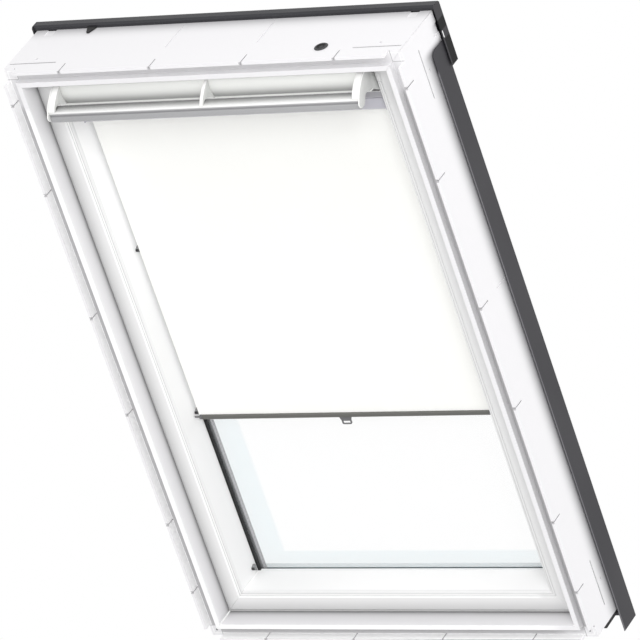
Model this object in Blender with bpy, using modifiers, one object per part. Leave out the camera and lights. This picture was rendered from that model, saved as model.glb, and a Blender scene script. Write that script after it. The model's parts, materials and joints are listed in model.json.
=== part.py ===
"""Centre-pivot roof window with a manual roller blind, seen upright: room on -Y, weather on +Y."""
import bpy
import bmesh
from math import cos, pi, sin, sqrt
from mathutils import Matrix

# Whole window, in metres
WIDTH = 0.780
HEIGHT = 1.178
LIP_PLANE = -0.030
FRAME_DEPTH = 0.1445
JOINT = 0.0003

# Frame section: insets from the outer face, depths from the lip plane
LIP_THICK = 0.005
GROOVE_DEPTH = 0.018
GROOVE_WIDTH = 0.0173
STRIP_WIDTH = 0.0093
STRIP_SETBACK = 0.005
FRAME_FACE = 0.038
REVEAL_DEPTH = 0.0355
SEAL_DEPTH = 0.039
SEAL_WIDTH = 0.006
SEAL_RECESS = 0.003
SEAL_REACH = 0.0025
CORNER_CUT = 0.025

# Kerfs through the lip, ribs and bracket slots on the outer faces
KERF_WIDTH = 0.002
KERF_DEPTH = 0.027
KERF_PITCH = 0.180
JAMB_KERF_SHARES = (0.0891, 0.2122, 0.4096, 0.5798, 0.7937, 0.9457)
RIB_KERF = 3
RIB_GROOVE_START = 0.065
RIB_GROOVE_END = 0.137
RIB_GROOVE_CUT = 0.0015
SLOT_LENGTH = 0.093
SLOT_WIDTH = 0.0016
SLOT_CUT = 0.003
HEAD_SLOT_DEPTH = 0.032
JAMB_SLOT_DEPTH = 0.068
HEAD_SLOT_FROM_CORNER = 0.0515
JAMB_SLOT_FROM_CORNER = 0.078
SCREW_RECESS = 0.0125
SCREW_RECESS_LENGTH = 0.006
NOTCH_FROM_CORNER = 0.0315
NOTCH_LENGTH = 0.018
NOTCH_DEPTH = 0.1255
NOTCH_CUT = 0.002

# Sash section: insets from the sash's own outer face, depths from the lip plane
GAP_SIDE = 0.0035
GAP_END = 0.0045
SASH_FRONT = 0.0375
SASH_REAR_SETBACK = 0.0125
MOULD_START = 0.026
CHAMFER_WIDTH = 0.0025
CHAMFER_DROP = 0.002
QUIRK_WIDTH = 0.0009
QUIRK_CUT = 0.0007
BEAD_WIDTH = 0.0036
NOSE_FLAT = 0.0006
NOSE_WIDTH = 0.003
NOSE_DROP = 0.0025
SASH_FACE = 0.0465
GLASS_SETBACK = 0.0345
GASKET_THICK = 0.0055
REBATE_WALL = 0.0225

# Sash head: drops from the sash's top edge
HEAD_LIP = 0.004
TROUGH_LOW = 0.0515
TROUGH_WALL = 0.0115
HEAD_NOSE_DEPTH = 0.050
HEAD_DROP = 0.0675
HEAD_REBATE = 0.0455
VENT_COUNT = 5
VENT_LENGTH = 0.080
VENT_HEIGHT = 0.008
VENT_DROP = 0.018
VENT_PITCH = 0.105

# Glazing
PANE_THICK = 0.004
SPACER_THICK = 0.015
PANE_EDGE = 0.0245
SPACER_OUTER = 0.037
SPACER_INNER = 0.049
GASKET_OUTER = 0.0443
GASKET_INNER = 0.0505
SILL_GLASS_DROP = 0.017
SILL_GASKET_DROP = 0.0033

# Sheet covers
SHEET = 0.0015
SIDE_COVER_DEPTH = 0.098
SIDE_COVER_TOP_DROP = 0.0555
SIDE_COVER_ROUND = 0.014
COVER_DROP = 0.045
COVER_STAND = 0.0018
COVER_LAP = 0.0375
APRON_FOLD = 0.0275
CASING_LAP = 0.001
CASING_BEHIND = 0.018
CASING_RISE = 0.009
CASING_TALL = 0.105
CASING_ROUND = 0.003
CASING_SIDE = 0.007
CASING_HEM = 0.007
CASING_END_LAP = 0.0045
LUG_FROM_CORNER = 0.113
LUG_WIDTH = 0.018
LUG_LENGTH = 0.018
LUG_THICK = 0.003
RAIL_FRONT = 0.050
RAIL_BACK_SETBACK = 0.0025
RAIL_THICK = 0.008
RAIL_RECESS = 0.001
SASH_COVER_WIDTH = 0.0325
TOP_COVER_START = 0.031
TOP_COVER_END = 0.058
BOTTOM_FLANGE = 0.030
FLANGE_RISE = 0.0010
FLANGE_LAND = 0.002
COVER_CLEAR = 0.0006
PANE_CLEAR = 0.002

# Pivots and lock
PIVOT_DEPTH = 0.0845
PIVOT_LENGTH = 0.120
PIVOT_WIDTH = 0.036
PIVOT_PLATE = 0.006
PIN_RADIUS = 0.006
PIN_PLAY = 0.0003
STRIKER_SIZE = (0.060, 0.002, 0.020)
LOCK_WIDTH = 0.060
LOCK_HEIGHT = 0.014
LOCK_CLEAR = 0.0105
FILTER_FROM_END = 0.038
FILTER_HEIGHT = 0.020
FILTER_THICK = 0.005
FILTER_DROP = 0.0105

# Ventilation flap and control bar
FLAP_AXIS_DROP = 0.0485
FLAP_AXIS_DEPTH = 0.049
FLAP_BEAD = 0.003
FLAP_TOP_DROP = 0.0055
FLAP_COVE = 0.009
FLAP_THICK = 0.0025
FLAP_CLEAR = 0.0012
BRACKET_THICK = 0.010
MIDDLE_BRACKET_THICK = 0.005
BAR_FRONT = -0.026
BAR_THICK = 0.014
BAR_RISE = 0.002
BAR_TALL = 0.020

# Roller blind
RAIL_TALL = 0.0272
RAIL_CLEAR = 0.0015
RAIL_REACH = 0.0305
RAIL_WALL = 0.0012
RAIL_SLOT = 0.008
RAIL_END_THICK = 0.003
BLIND_CLEAR = 0.002
TUBE_RADIUS = 0.0085
TUBE_SETBACK = 0.005
TUBE_END_GAP = 0.004
JOURNAL_RADIUS = 0.003
FABRIC_SETBACK = 0.0155
FABRIC_THICK = 0.0008
FABRIC_MARGIN = 0.006
BOTTOM_BAR_RISE = 0.3848
BOTTOM_BAR_TALL = 0.009
BOTTOM_BAR_THICK = 0.006
BAR_END_LENGTH = 0.006
BAR_END_RADIUS = 0.0042
HANG_PIN_RADIUS = 0.0017
PIN_CLEAR = 0.0009
TAB_TOP_HALF = 0.012
TAB_LOW_HALF = 0.0095
TAB_TALL = 0.0145
TAB_THICK = 0.0025
TAB_SLOT_HALF = 0.0072
TAB_SLOT_TALL = 0.0052
TAB_RIM = 0.0018
HOOK_TOP_DROP = 0.3655
HOOK_LOW_RISE = 0.058
HOOK_ABOVE_PIN = 0.006
HOOK_TALL = 0.014
HOOK_CLEAR = 0.0005
HOOK_SPREAD = 0.009
HOOK_REACH = 0.006

# Cable grommet on the head's outer face
GROMMET_FROM_CORNER = 0.162
GROMMET_DEPTH = 0.0395
GROMMET_RADIUS = 0.0123
GROMMET_STEM = 0.0092
GROMMET_LENGTH = 0.010

# Edges that the sizes above fix
HALF = WIDTH / 2
GROOVE_FAR = LIP_THICK + GROOVE_WIDTH
STRIP_FAR = GROOVE_FAR + STRIP_WIDTH
SASH_HALF = HALF - FRAME_FACE - GAP_SIDE
SASH_LOW = FRAME_FACE + GAP_END
SASH_TOP = HEIGHT - FRAME_FACE - GAP_END
SASH_REAR = FRAME_DEPTH - SASH_REAR_SETBACK
GLASS_DEPTH = SASH_REAR - GLASS_SETBACK
GASKET_DEPTH = GLASS_DEPTH - GASKET_THICK
TROUGH_BACK = GLASS_DEPTH - TROUGH_WALL
MOULD_END = MOULD_START + CHAMFER_WIDTH + 2 * QUIRK_WIDTH + BEAD_WIDTH + NOSE_FLAT + NOSE_WIDTH
MOULD_DEPTH = SASH_FRONT + CHAMFER_DROP + NOSE_DROP
REVEAL_SLOPE = (SASH_FACE - MOULD_END) / (GASKET_DEPTH - MOULD_DEPTH)
SPACER_DEPTH = GLASS_DEPTH + PANE_THICK + 2 * JOINT
OUTER_DEPTH = SPACER_DEPTH + SPACER_THICK + JOINT
RAIL_TOP = SASH_TOP - HEAD_DROP - JOINT
RAIL_DEPTH = GASKET_DEPTH - RAIL_CLEAR - RAIL_REACH
FABRIC_DEPTH = RAIL_DEPTH + FABRIC_SETBACK
TUBE_DEPTH = RAIL_DEPTH + RAIL_REACH / 2 + TUBE_SETBACK
TUBE_HEIGHT = RAIL_TOP - RAIL_TALL / 2
PIVOT_HEIGHT = HEIGHT / 2
FLAP_AXIS_HEIGHT = SASH_TOP - FLAP_AXIS_DROP
FLAP_BACK = FLAP_AXIS_DEPTH - FLAP_BEAD + FLAP_COVE + FLAP_THICK
LOCK_THICK = TROUGH_BACK - FLAP_BACK - LOCK_CLEAR
BAR_LOW = FLAP_AXIS_HEIGHT + BAR_RISE
CASING_DEPTH = FRAME_DEPTH - CASING_LAP
CASING_BACK = FRAME_DEPTH + CASING_BEHIND
CASING_LOW = HEIGHT - CASING_TALL
CASING_END_DEPTH = FRAME_DEPTH - CASING_END_LAP
SIDE_COVER_TOP = HEIGHT - SIDE_COVER_TOP_DROP
RAIL_BACK = FRAME_DEPTH - RAIL_BACK_SETBACK
GROMMET_X = HALF - GROMMET_FROM_CORNER
LUG_X = LUG_FROM_CORNER - HALF
HOOK_FRONT = FABRIC_DEPTH + HANG_PIN_RADIUS + HOOK_CLEAR
JAMB_KERFS = [share * HEIGHT for share in JAMB_KERF_SHARES]
BOTTOM_BAR_HEIGHT = SASH_LOW + BOTTOM_BAR_RISE
HOOK_HEIGHTS = {
    "upper": SASH_TOP - HOOK_TOP_DROP,
    "middle": BOTTOM_BAR_HEIGHT + HOOK_ABOVE_PIN,
    "lower": SASH_LOW + HOOK_LOW_RISE,
}


def stile_face(depth):
    """X of the sash stile's sloping inner face, on the right, at a depth."""
    return SASH_HALF - MOULD_END - (depth - MOULD_DEPTH) * REVEAL_SLOPE


BLIND_HALF = stile_face(RAIL_DEPTH + RAIL_REACH) - BLIND_CLEAR
FABRIC_HALF = BLIND_HALF - FABRIC_MARGIN
FLAP_HALF = stile_face(FLAP_BACK) - FLAP_CLEAR
HANG_PIN_REACH = stile_face(FABRIC_DEPTH) - PIN_CLEAR
FILTER_LENGTH = 2 * (FLAP_HALF - FILTER_FROM_END)

PLANES = {
    "XZ": Matrix(((1, 0, 0, 0), (0, 0, -1, 0), (0, 1, 0, 0), (0, 0, 0, 1))),
    "YZ": Matrix(((0, 0, 1, 0), (1, 0, 0, 0), (0, 1, 0, 0), (0, 0, 0, 1))),
    "XY": Matrix.Identity(4),
}


def fresh_collections():
    for thing in list(bpy.data.objects):
        bpy.data.objects.remove(thing, do_unlink=True)
    made = []
    for name in ("roof_window", "cutters"):
        group = bpy.data.collections.new(name)
        bpy.context.scene.collection.children.link(group)
        made.append(group)
    return made


WINDOW, CUTTERS = fresh_collections()


def surface(name, colour, roughness, metallic=0.0):
    """A Principled material, with alpha below one for glass."""
    material = bpy.data.materials.new(name)
    material.use_nodes = True
    shader = material.node_tree.nodes["Principled BSDF"]
    shader.inputs["Base Color"].default_value = (*colour, 1.0)
    shader.inputs["Roughness"].default_value = roughness
    shader.inputs["Metallic"].default_value = metallic
    material.diffuse_color = (*colour, 1.0)
    return material


WHITE = surface("white_lacquer", (0.86, 0.86, 0.86), 0.35)
COVER = surface("grey_cover", (0.085, 0.085, 0.092), 0.45, 0.3)
RUBBER = surface("black_rubber", (0.012, 0.012, 0.013), 0.7)
GLASS = surface("glass", (0.92, 0.97, 0.98), 0.02)
SILVER = surface("spacer_aluminium", (0.42, 0.43, 0.44), 0.35, 0.8)
STEEL = surface("zinc_steel", (0.5, 0.5, 0.5), 0.35, 1.0)
FLAP_WHITE = surface("flap_plastic", (0.78, 0.79, 0.76), 0.45)
BAR_METAL = surface("bar_aluminium", (0.75, 0.76, 0.77), 0.3, 0.6)
BLIND_GREY = surface("blind_grey", (0.13, 0.13, 0.125), 0.4, 0.3)
RAIL_GREY = surface("rail_grey", (0.42, 0.42, 0.45), 0.4)
CLOTH = surface("blind_cloth", (0.90, 0.89, 0.84), 0.9)
FOAM = surface("filter_foam", (0.55, 0.56, 0.55), 0.95)


def weld(solid):
    """Close and orient the mesh."""
    form = bmesh.new()
    form.from_mesh(solid.data)
    bmesh.ops.remove_doubles(form, verts=form.verts, dist=0.000001)
    bmesh.ops.recalc_face_normals(form, faces=form.faces)
    form.to_mesh(solid.data)
    form.free()
    return solid


def finish(solid, material, smooth=False):
    """Close the mesh, give it its material and put it with the window."""
    mesh = weld(solid).data
    mesh.materials.clear()
    mesh.materials.append(material)
    if smooth:
        mesh.shade_smooth()
        mesh.set_sharp_from_angle(angle=0.6)
    WINDOW.objects.link(solid)
    return solid


def rectangle(left, low, right, high):
    return [(left, low), (right, low), (right, high), (left, high)]


def raw_prism(name, outlines, low, high, plane):
    """Extrude closed outlines, the first the rim and the rest holes, as an unlinked mesh object."""
    curve = bpy.data.curves.new(name, "CURVE")
    curve.dimensions = "2D"
    curve.fill_mode = "BOTH"
    curve.extrude = (high - low) / 2
    for outline in outlines:
        spline = curve.splines.new("POLY")
        spline.points.add(len(outline) - 1)
        for point, (first, second) in zip(spline.points, outline):
            point.co = (first, second, 0, 1)
        spline.use_cyclic_u = True
    holder = bpy.data.objects.new(name + "_outline", curve)
    bpy.context.scene.collection.objects.link(holder)
    bpy.context.view_layer.update()
    graph = bpy.context.evaluated_depsgraph_get()
    mesh = bpy.data.meshes.new_from_object(holder.evaluated_get(graph))
    bpy.data.objects.remove(holder, do_unlink=True)
    middle = (low + high) / 2
    side = -1 if plane == "XZ" else 1
    mesh.transform(Matrix.Translation((0, 0, side * middle)))
    mesh.transform(PLANES[plane])
    mesh.name = name
    return bpy.data.objects.new(name, mesh)


def prism(name, outlines, low, high, plane, material, smooth=False):
    return finish(raw_prism(name, outlines, low, high, plane), material, smooth)


def block(name, low, high, material):
    outline = rectangle(low[0], low[2], high[0], high[2])
    return prism(name, [outline], low[1], high[1], "XZ", material)


def move_origin(solid, place):
    """Put a moving piece's origin on its joint's axis."""
    solid.data.transform(Matrix.Translation([-value for value in place]))
    solid.location = place
    return solid


def at(depth):
    """Y of a depth counted from the lip plane."""
    return LIP_PLANE + depth


def member(name, section, side, edges, material, trims):
    """Run an (inset, depth) section along one side of a rectangle of edges.

    edges are half width, low and high; trims give what each end loses at an inset and a depth.
    """
    half, low, high = edges
    upright = side in ("left", "right")
    start, end = (low, high) if upright else (-half, half)
    solid = raw_prism(name, [section], start, end, "XY")
    for vertex in solid.data.vertices:
        inset, depth, along = vertex.co
        at_end = along > (start + end) / 2
        along += -trims[1](inset, depth) if at_end else trims[0](inset, depth)
        if upright:
            across = half - inset if side == "right" else inset - half
            vertex.co = (across, at(depth), along)
        else:
            rise = high - inset if side == "head" else low + inset
            vertex.co = (along, at(depth), rise)
    return finish(solid, material)


def mitre(inset, depth):
    return inset + JOINT / 2


def square(inset, depth):
    return 0.0


def cutter(name, boxes):
    """One wire-shown cutter made of boxes, each given by its low and high corners."""
    mesh = bpy.data.meshes.new(name)
    form = bmesh.new()
    for low, high in boxes:
        made = bmesh.ops.create_cube(form, size=1.0)
        for vertex in made["verts"]:
            for axis in range(3):
                middle = (low[axis] + high[axis]) / 2
                vertex.co[axis] = middle + vertex.co[axis] * abs(high[axis] - low[axis])
    form.to_mesh(mesh)
    form.free()
    tool = bpy.data.objects.new(name, mesh)
    return stow(tool)


def stow(tool):
    tool.hide_render = True
    tool.display_type = "WIRE"
    CUTTERS.objects.link(tool)
    return tool


def combine(solid, tool, operation="DIFFERENCE"):
    change = solid.modifiers.new(tool.name, "BOOLEAN")
    change.operation = operation
    change.solver = "EXACT"
    change.object = tool
    return solid


def spindle(name, radius, start, end, place, sides=24):
    """A mesh cylinder along X, about the line through place, as a tool."""
    mesh = bpy.data.meshes.new(name)
    form = bmesh.new()
    bmesh.ops.create_cone(form, cap_ends=True, segments=sides, radius1=radius, radius2=radius,
                          depth=end - start)
    form.to_mesh(mesh)
    form.free()
    mesh.transform(Matrix.Rotation(pi / 2, 4, "Y"))
    mesh.transform(Matrix.Translation(((start + end) / 2, place[0], place[1])))
    return stow(bpy.data.objects.new(name, mesh))


def turned(name, profile, material, sides=24):
    """Turn a profile of (radius, height) points, listed top to bottom, about Z."""
    mesh = bpy.data.meshes.new(name)
    points = [(radius, 0, height) for radius, height in profile]
    mesh.from_pydata(points, [(i, i + 1) for i in range(len(points) - 1)], [])
    shape = bpy.data.objects.new(name, mesh)
    bpy.context.scene.collection.objects.link(shape)
    screw = shape.modifiers.new("turn", "SCREW")
    screw.steps = sides
    screw.render_steps = sides
    screw.use_merge_vertices = True
    screw.merge_threshold = 0.00005
    bpy.context.view_layer.update()
    graph = bpy.context.evaluated_depsgraph_get()
    solid_mesh = bpy.data.meshes.new_from_object(shape.evaluated_get(graph))
    bpy.data.objects.remove(shape, do_unlink=True)
    return bpy.data.objects.new(name, solid_mesh)


# Frame


def frame_section():
    seal_low = SEAL_DEPTH
    seal_high = SEAL_DEPTH + SEAL_WIDTH
    return [
        (0, 0),
        (LIP_THICK, 0),
        (LIP_THICK, GROOVE_DEPTH),
        (GROOVE_FAR, GROOVE_DEPTH),
        (GROOVE_FAR, STRIP_SETBACK),
        (STRIP_FAR, STRIP_SETBACK),
        (FRAME_FACE, REVEAL_DEPTH),
        (FRAME_FACE, seal_low),
        (FRAME_FACE - SEAL_RECESS, seal_low),
        (FRAME_FACE - SEAL_RECESS, seal_high),
        (FRAME_FACE, seal_high),
        (FRAME_FACE, FRAME_DEPTH),
        (0, FRAME_DEPTH),
    ]


def outer_boxes(side, place, length, start, end, cut):
    """A box cut into a member's outer face: centre along it, its length, its depths and how deep."""
    low = place - length / 2
    high = place + length / 2
    spare = 0.005
    if side == "right":
        return ((HALF - cut, at(start), low), (HALF + spare, at(end), high))
    if side == "left":
        return ((-HALF - spare, at(start), low), (-HALF + cut, at(end), high))
    if side == "head":
        return ((low, at(start), HEIGHT - cut), (high, at(end), HEIGHT + spare))
    return ((low, at(start), -spare), (high, at(end), cut))


def member_cuts(side):
    """Kerfs, corner cuts, ribs and bracket slots of one frame member."""
    upright = side in ("left", "right")
    through = LIP_THICK + 0.001
    before = -0.004
    low, high = (0, HEIGHT) if upright else (-HALF, HALF)
    boxes = []
    for corner in (low, high):
        boxes.append(outer_boxes(side, corner, 2 * CORNER_CUT, before, GROOVE_DEPTH, GROOVE_FAR - 0.0002))
    if upright:
        kerfs = JAMB_KERFS
        ribs = (JAMB_KERFS[RIB_KERF],)
        slot_depth = JAMB_SLOT_DEPTH
        slot_inset = JAMB_SLOT_FROM_CORNER
        notches = (high - NOTCH_FROM_CORNER,)
    else:
        kerfs = [KERF_PITCH * (count - 1.5) for count in range(4)]
        ribs = (kerfs[1], kerfs[2]) if side == "head" else ()
        slot_depth = HEAD_SLOT_DEPTH
        slot_inset = HEAD_SLOT_FROM_CORNER
        notches = (low + NOTCH_FROM_CORNER, high - NOTCH_FROM_CORNER) if side == "head" else ()
    for kerf in kerfs:
        boxes.append(outer_boxes(side, kerf, KERF_WIDTH, before, KERF_DEPTH, through))
    for rib in ribs:
        boxes.append(outer_boxes(side, rib, RIB_GROOVE_CUT, RIB_GROOVE_START, RIB_GROOVE_END, RIB_GROOVE_CUT))
    if side != "sill":
        for slot in (low + slot_inset, high - slot_inset):
            rear = slot_depth + SLOT_WIDTH
            boxes.append(outer_boxes(side, slot, SLOT_LENGTH, slot_depth, rear, SLOT_CUT))
            screw = slot_depth + SCREW_RECESS
            screw_end = screw + 2 * SLOT_WIDTH
            boxes.append(outer_boxes(side, slot, SCREW_RECESS_LENGTH, screw, screw_end, SLOT_CUT))
        for notch in notches:
            rear = FRAME_DEPTH + NOTCH_CUT
            boxes.append(outer_boxes(side, notch, NOTCH_LENGTH, NOTCH_DEPTH, rear, NOTCH_CUT))
    if side == "sill":
        boxes.append(outer_boxes(side, 0, WIDTH + KERF_WIDTH, RAIL_FRONT - JOINT, FRAME_DEPTH + KERF_WIDTH,
                                 RAIL_RECESS))
    return boxes


def build_frame():
    edges = (HALF, 0, HEIGHT)
    names = {"head": "frame_head", "sill": "frame_sill", "left": "frame_jamb_left",
             "right": "frame_jamb_right"}
    members = {}
    for side, name in names.items():
        solid = member(name, frame_section(), side, edges, WHITE, (mitre, mitre))
        combine(solid, cutter(name + "_cuts", member_cuts(side)))
        members[side] = solid
    for side, sign in (("left", -1), ("right", 1)):
        inner = HALF - FRAME_FACE
        corners = sorted((sign * (inner - 0.002), sign * (inner + PIVOT_PLATE + JOINT)))
        pocket = pivot_box(corners, JOINT)
        combine(members[side], cutter("pivot_pocket_" + side, [pocket]))
    bore = turned("grommet_bore", [(0, 0.005), (GROMMET_STEM + JOINT, 0.005),
                                   (GROMMET_STEM + JOINT, -GROMMET_LENGTH - JOINT),
                                   (0, -GROMMET_LENGTH - JOINT)], RUBBER)
    bore.location = (GROMMET_X, at(GROMMET_DEPTH), HEIGHT)
    combine(members["head"], stow(bore))
    wide, thick, deep = STRIKER_SIZE
    face = HEIGHT - FRAME_FACE
    pocket = ((-wide / 2 - JOINT, at(PIVOT_DEPTH) - deep / 2 - JOINT, face - 0.003),
              (wide / 2 + JOINT, at(PIVOT_DEPTH) + deep / 2 + JOINT, face + thick + JOINT))
    combine(members["head"], cutter("striker_pocket", [pocket]))
    block("striker_plate", (-wide / 2, at(PIVOT_DEPTH) - deep / 2, face),
          (wide / 2, at(PIVOT_DEPTH) + deep / 2, face + thick), STEEL)


def build_grommet():
    profile = [
        (0, 0.0008),
        (0.0060, 0.0008),
        (0.0075, 0.0019),
        (GROMMET_RADIUS - 0.0015, 0.0019),
        (GROMMET_RADIUS, 0.0010),
        (GROMMET_RADIUS, JOINT),
        (GROMMET_STEM, JOINT),
        (GROMMET_STEM, -GROMMET_LENGTH),
        (0, -GROMMET_LENGTH),
    ]
    solid = finish(turned("cable_grommet", profile, RUBBER), RUBBER, smooth=True)
    solid.location = (GROMMET_X, at(GROMMET_DEPTH), HEIGHT)


def ring(name, outer, inner, start, end, material):
    """A rectangular ring; outer and inner are half width, low and high."""
    outlines = [rectangle(-half, low, half, high) for half, low, high in (outer, inner)]
    return prism(name, outlines, at(start), at(end), "XZ", material)


def build_frame_gasket():
    outer = FRAME_FACE - SEAL_RECESS + JOINT
    inner = FRAME_FACE + SEAL_REACH
    ring("frame_gasket", (HALF - outer, outer, HEIGHT - outer), (HALF - inner, inner, HEIGHT - inner),
         SEAL_DEPTH + JOINT, SEAL_DEPTH + SEAL_WIDTH - JOINT, RUBBER)


def cover_rounding():
    """Tool that rounds the side covers' upper corner on the room side."""
    spare = 0.004
    front = at(SIDE_COVER_DEPTH)
    outline = [(front + SIDE_COVER_ROUND, SIDE_COVER_TOP + spare), (front - spare, SIDE_COVER_TOP + spare),
               (front - spare, SIDE_COVER_TOP - SIDE_COVER_ROUND)]
    for step in range(9):
        angle = pi - pi / 2 * step / 8
        outline.append((front + SIDE_COVER_ROUND * (1 + cos(angle)),
                        SIDE_COVER_TOP - SIDE_COVER_ROUND * (1 - sin(angle))))
    reach = HALF + 2 * COVER_STAND + SHEET
    return stow(weld(raw_prism("cover_rounding", [outline], -reach, reach, "YZ")))


def build_casing_lug():
    """Pointed lug under the hood's edge, flat on the head."""
    rear = at(CASING_DEPTH) - JOINT
    half = LUG_WIDTH / 2
    outline = [(LUG_X - half, rear), (LUG_X + half, rear), (LUG_X + half * 0.25, rear - LUG_LENGTH),
               (LUG_X - half * 0.25, rear - LUG_LENGTH)]
    low = HEIGHT + JOINT
    prism("casing_lug", [outline], low, low + LUG_THICK, "XY", RUBBER)


def build_frame_covers():
    front = CASING_DEPTH
    back = CASING_BACK
    top = HEIGHT + CASING_RISE
    low = HEIGHT + JOINT
    round_off = CASING_ROUND
    hood = [
        (at(front), low),
        (at(front), top - round_off),
        (at(front) + round_off, top),
        (at(back) - round_off, top),
        (at(back), top - round_off),
        (at(back), CASING_LOW),
        (at(back - CASING_HEM), CASING_LOW),
        (at(back - CASING_HEM), CASING_LOW + SHEET),
        (at(back) - SHEET, CASING_LOW + SHEET),
        (at(back) - SHEET, top - round_off - SHEET / 2),
        (at(back) - round_off - SHEET / 2, top - SHEET),
        (at(front) + round_off + SHEET / 2, top - SHEET),
        (at(front) + SHEET, top - round_off - SHEET / 2),
        (at(front) + SHEET, low),
    ]
    reach = HALF + CASING_SIDE
    prism("top_casing", [hood], -reach + SHEET + JOINT, reach - SHEET - JOINT, "YZ", COVER)
    end = [
        (at(CASING_END_DEPTH), CASING_LOW),
        (at(back), CASING_LOW),
        (at(back), top - round_off),
        (at(back) - round_off, top),
        (at(CASING_END_DEPTH) + round_off, top),
        (at(CASING_END_DEPTH), top - round_off),
    ]
    prism("casing_end_right", [end], reach - SHEET, reach, "YZ", COVER)
    prism("casing_end_left", [end], -reach, -reach + SHEET, "YZ", COVER)
    inner = HALF + COVER_STAND
    outer = inner + SHEET
    fold = HALF - COVER_LAP
    rear = FRAME_DEPTH + JOINT
    rounding = cover_rounding()
    for side, sign in (("right", 1), ("left", -1)):
        angle = [
            (inner, at(SIDE_COVER_DEPTH)),
            (outer, at(SIDE_COVER_DEPTH)),
            (outer, at(rear + SHEET)),
            (fold, at(rear + SHEET)),
            (fold, at(rear)),
            (inner, at(rear)),
        ]
        outline = [(sign * across, depth) for across, depth in angle]
        cover = prism("side_cover_" + side, [outline], -COVER_DROP, SIDE_COVER_TOP, "XY", COVER)
        combine(cover, rounding)
    half = fold - JOINT
    apron = [
        (at(rear), COVER_LAP),
        (at(rear), -COVER_DROP + SHEET),
        (at(rear) - APRON_FOLD, -COVER_DROP + SHEET),
        (at(rear) - APRON_FOLD, -COVER_DROP),
        (at(rear + SHEET), -COVER_DROP),
        (at(rear + SHEET), COVER_LAP),
    ]
    prism("bottom_cover", [apron], -half, half, "YZ", COVER)
    strip = [
        (at(RAIL_FRONT), RAIL_RECESS - JOINT),
        (at(RAIL_FRONT), -RAIL_THICK / 2),
        (at(RAIL_FRONT) + RAIL_THICK / 2, -RAIL_THICK),
        (at(RAIL_BACK), -RAIL_THICK),
        (at(RAIL_BACK), RAIL_RECESS - JOINT),
    ]
    reach = HALF - RAIL_RECESS - JOINT
    prism("sill_rail", [strip], -reach, reach, "YZ", RUBBER)


# Pivots


def pivot_box(across, spare):
    low, high = across
    return ((low, at(PIVOT_DEPTH) - PIVOT_WIDTH / 2 - spare, PIVOT_HEIGHT - PIVOT_LENGTH / 2 - spare),
            (high, at(PIVOT_DEPTH) + PIVOT_WIDTH / 2 + spare, PIVOT_HEIGHT + PIVOT_LENGTH / 2 + spare))


def rounded_plate(name, across, material):
    """A hinge plate with half-round ends, between two X positions."""
    radius = PIVOT_WIDTH / 2
    straight = PIVOT_LENGTH / 2 - radius
    outline = []
    for centre, first in ((straight, 0), (-straight, pi)):
        for step in range(9):
            angle = first + pi * step / 8
            outline.append((at(PIVOT_DEPTH) + radius * cos(angle),
                            PIVOT_HEIGHT + centre + radius * sin(angle)))
    return raw_prism(name, [outline], across[0], across[1], "YZ")


def build_pivots():
    centre = (at(PIVOT_DEPTH), PIVOT_HEIGHT)
    jamb = HALF - FRAME_FACE
    for side, sign in (("left", -1), ("right", 1)):
        across = sorted((sign * jamb, sign * (jamb + PIVOT_PLATE)))
        plate = finish(rounded_plate("pivot_plate_" + side, across, STEEL), STEEL)
        hole = sorted((sign * (jamb - 0.002), sign * (jamb + PIVOT_PLATE + 0.002)))
        combine(plate, spindle("pivot_hole_" + side, PIN_RADIUS + PIN_PLAY, *hole, centre))
        across = sorted((sign * SASH_HALF, sign * (SASH_HALF - PIVOT_PLATE)))
        arm = finish(rounded_plate("pivot_arm_" + side, across, STEEL), STEEL)
        reach = jamb + PIVOT_PLATE - JOINT
        pin = sorted((sign * (SASH_HALF - PIVOT_PLATE / 2), sign * reach))
        combine(arm, spindle("pivot_pin_" + side, PIN_RADIUS, *pin, centre), "UNION")
        move_origin(arm, (0, *centre))


# Sash


def quirk(inset, depth):
    """A fine V groove that starts at an inset."""
    return [(inset, depth), (inset + QUIRK_WIDTH / 2, depth + QUIRK_CUT), (inset + QUIRK_WIDTH, depth)]


def sash_section():
    """Stile and sill: flat face, moulding, sloping reveal, gasket seat and glass rebate."""
    bead_depth = SASH_FRONT + CHAMFER_DROP
    bead = MOULD_START + CHAMFER_WIDTH
    nose = MOULD_END - NOSE_WIDTH
    section = [(0, SASH_FRONT), (MOULD_START, SASH_FRONT)]
    section += quirk(bead, bead_depth)
    section += quirk(bead + QUIRK_WIDTH + BEAD_WIDTH, bead_depth)
    steps = 4
    for step in range(steps + 1):
        angle = pi / 2 * step / steps
        section.append((nose + NOSE_WIDTH * sin(angle), MOULD_DEPTH - NOSE_DROP * cos(angle)))
    section.append((SASH_FACE, GASKET_DEPTH))
    section.append((GASKET_OUTER - JOINT, GASKET_DEPTH))
    section.append((GASKET_OUTER - JOINT, GLASS_DEPTH))
    section.append((REBATE_WALL, GLASS_DEPTH))
    section.append((REBATE_WALL, SASH_REAR))
    section.append((0, SASH_REAR))
    return section


def head_section():
    """Head: thin lip, the flap's trough, the nose under it and the glass rebate."""
    gasket = HEAD_DROP - (SASH_FACE - GASKET_OUTER) - JOINT
    return [
        (0, SASH_FRONT),
        (HEAD_LIP, SASH_FRONT),
        (HEAD_LIP, TROUGH_BACK),
        (TROUGH_LOW, TROUGH_BACK),
        (TROUGH_LOW, HEAD_NOSE_DEPTH),
        (HEAD_DROP - 0.005, HEAD_NOSE_DEPTH),
        (HEAD_DROP, HEAD_NOSE_DEPTH + 0.005),
        (HEAD_DROP, GASKET_DEPTH),
        (gasket, GASKET_DEPTH),
        (gasket, GLASS_DEPTH),
        (HEAD_REBATE, GLASS_DEPTH),
        (HEAD_REBATE, SASH_REAR),
        (0, SASH_REAR),
    ]


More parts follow.
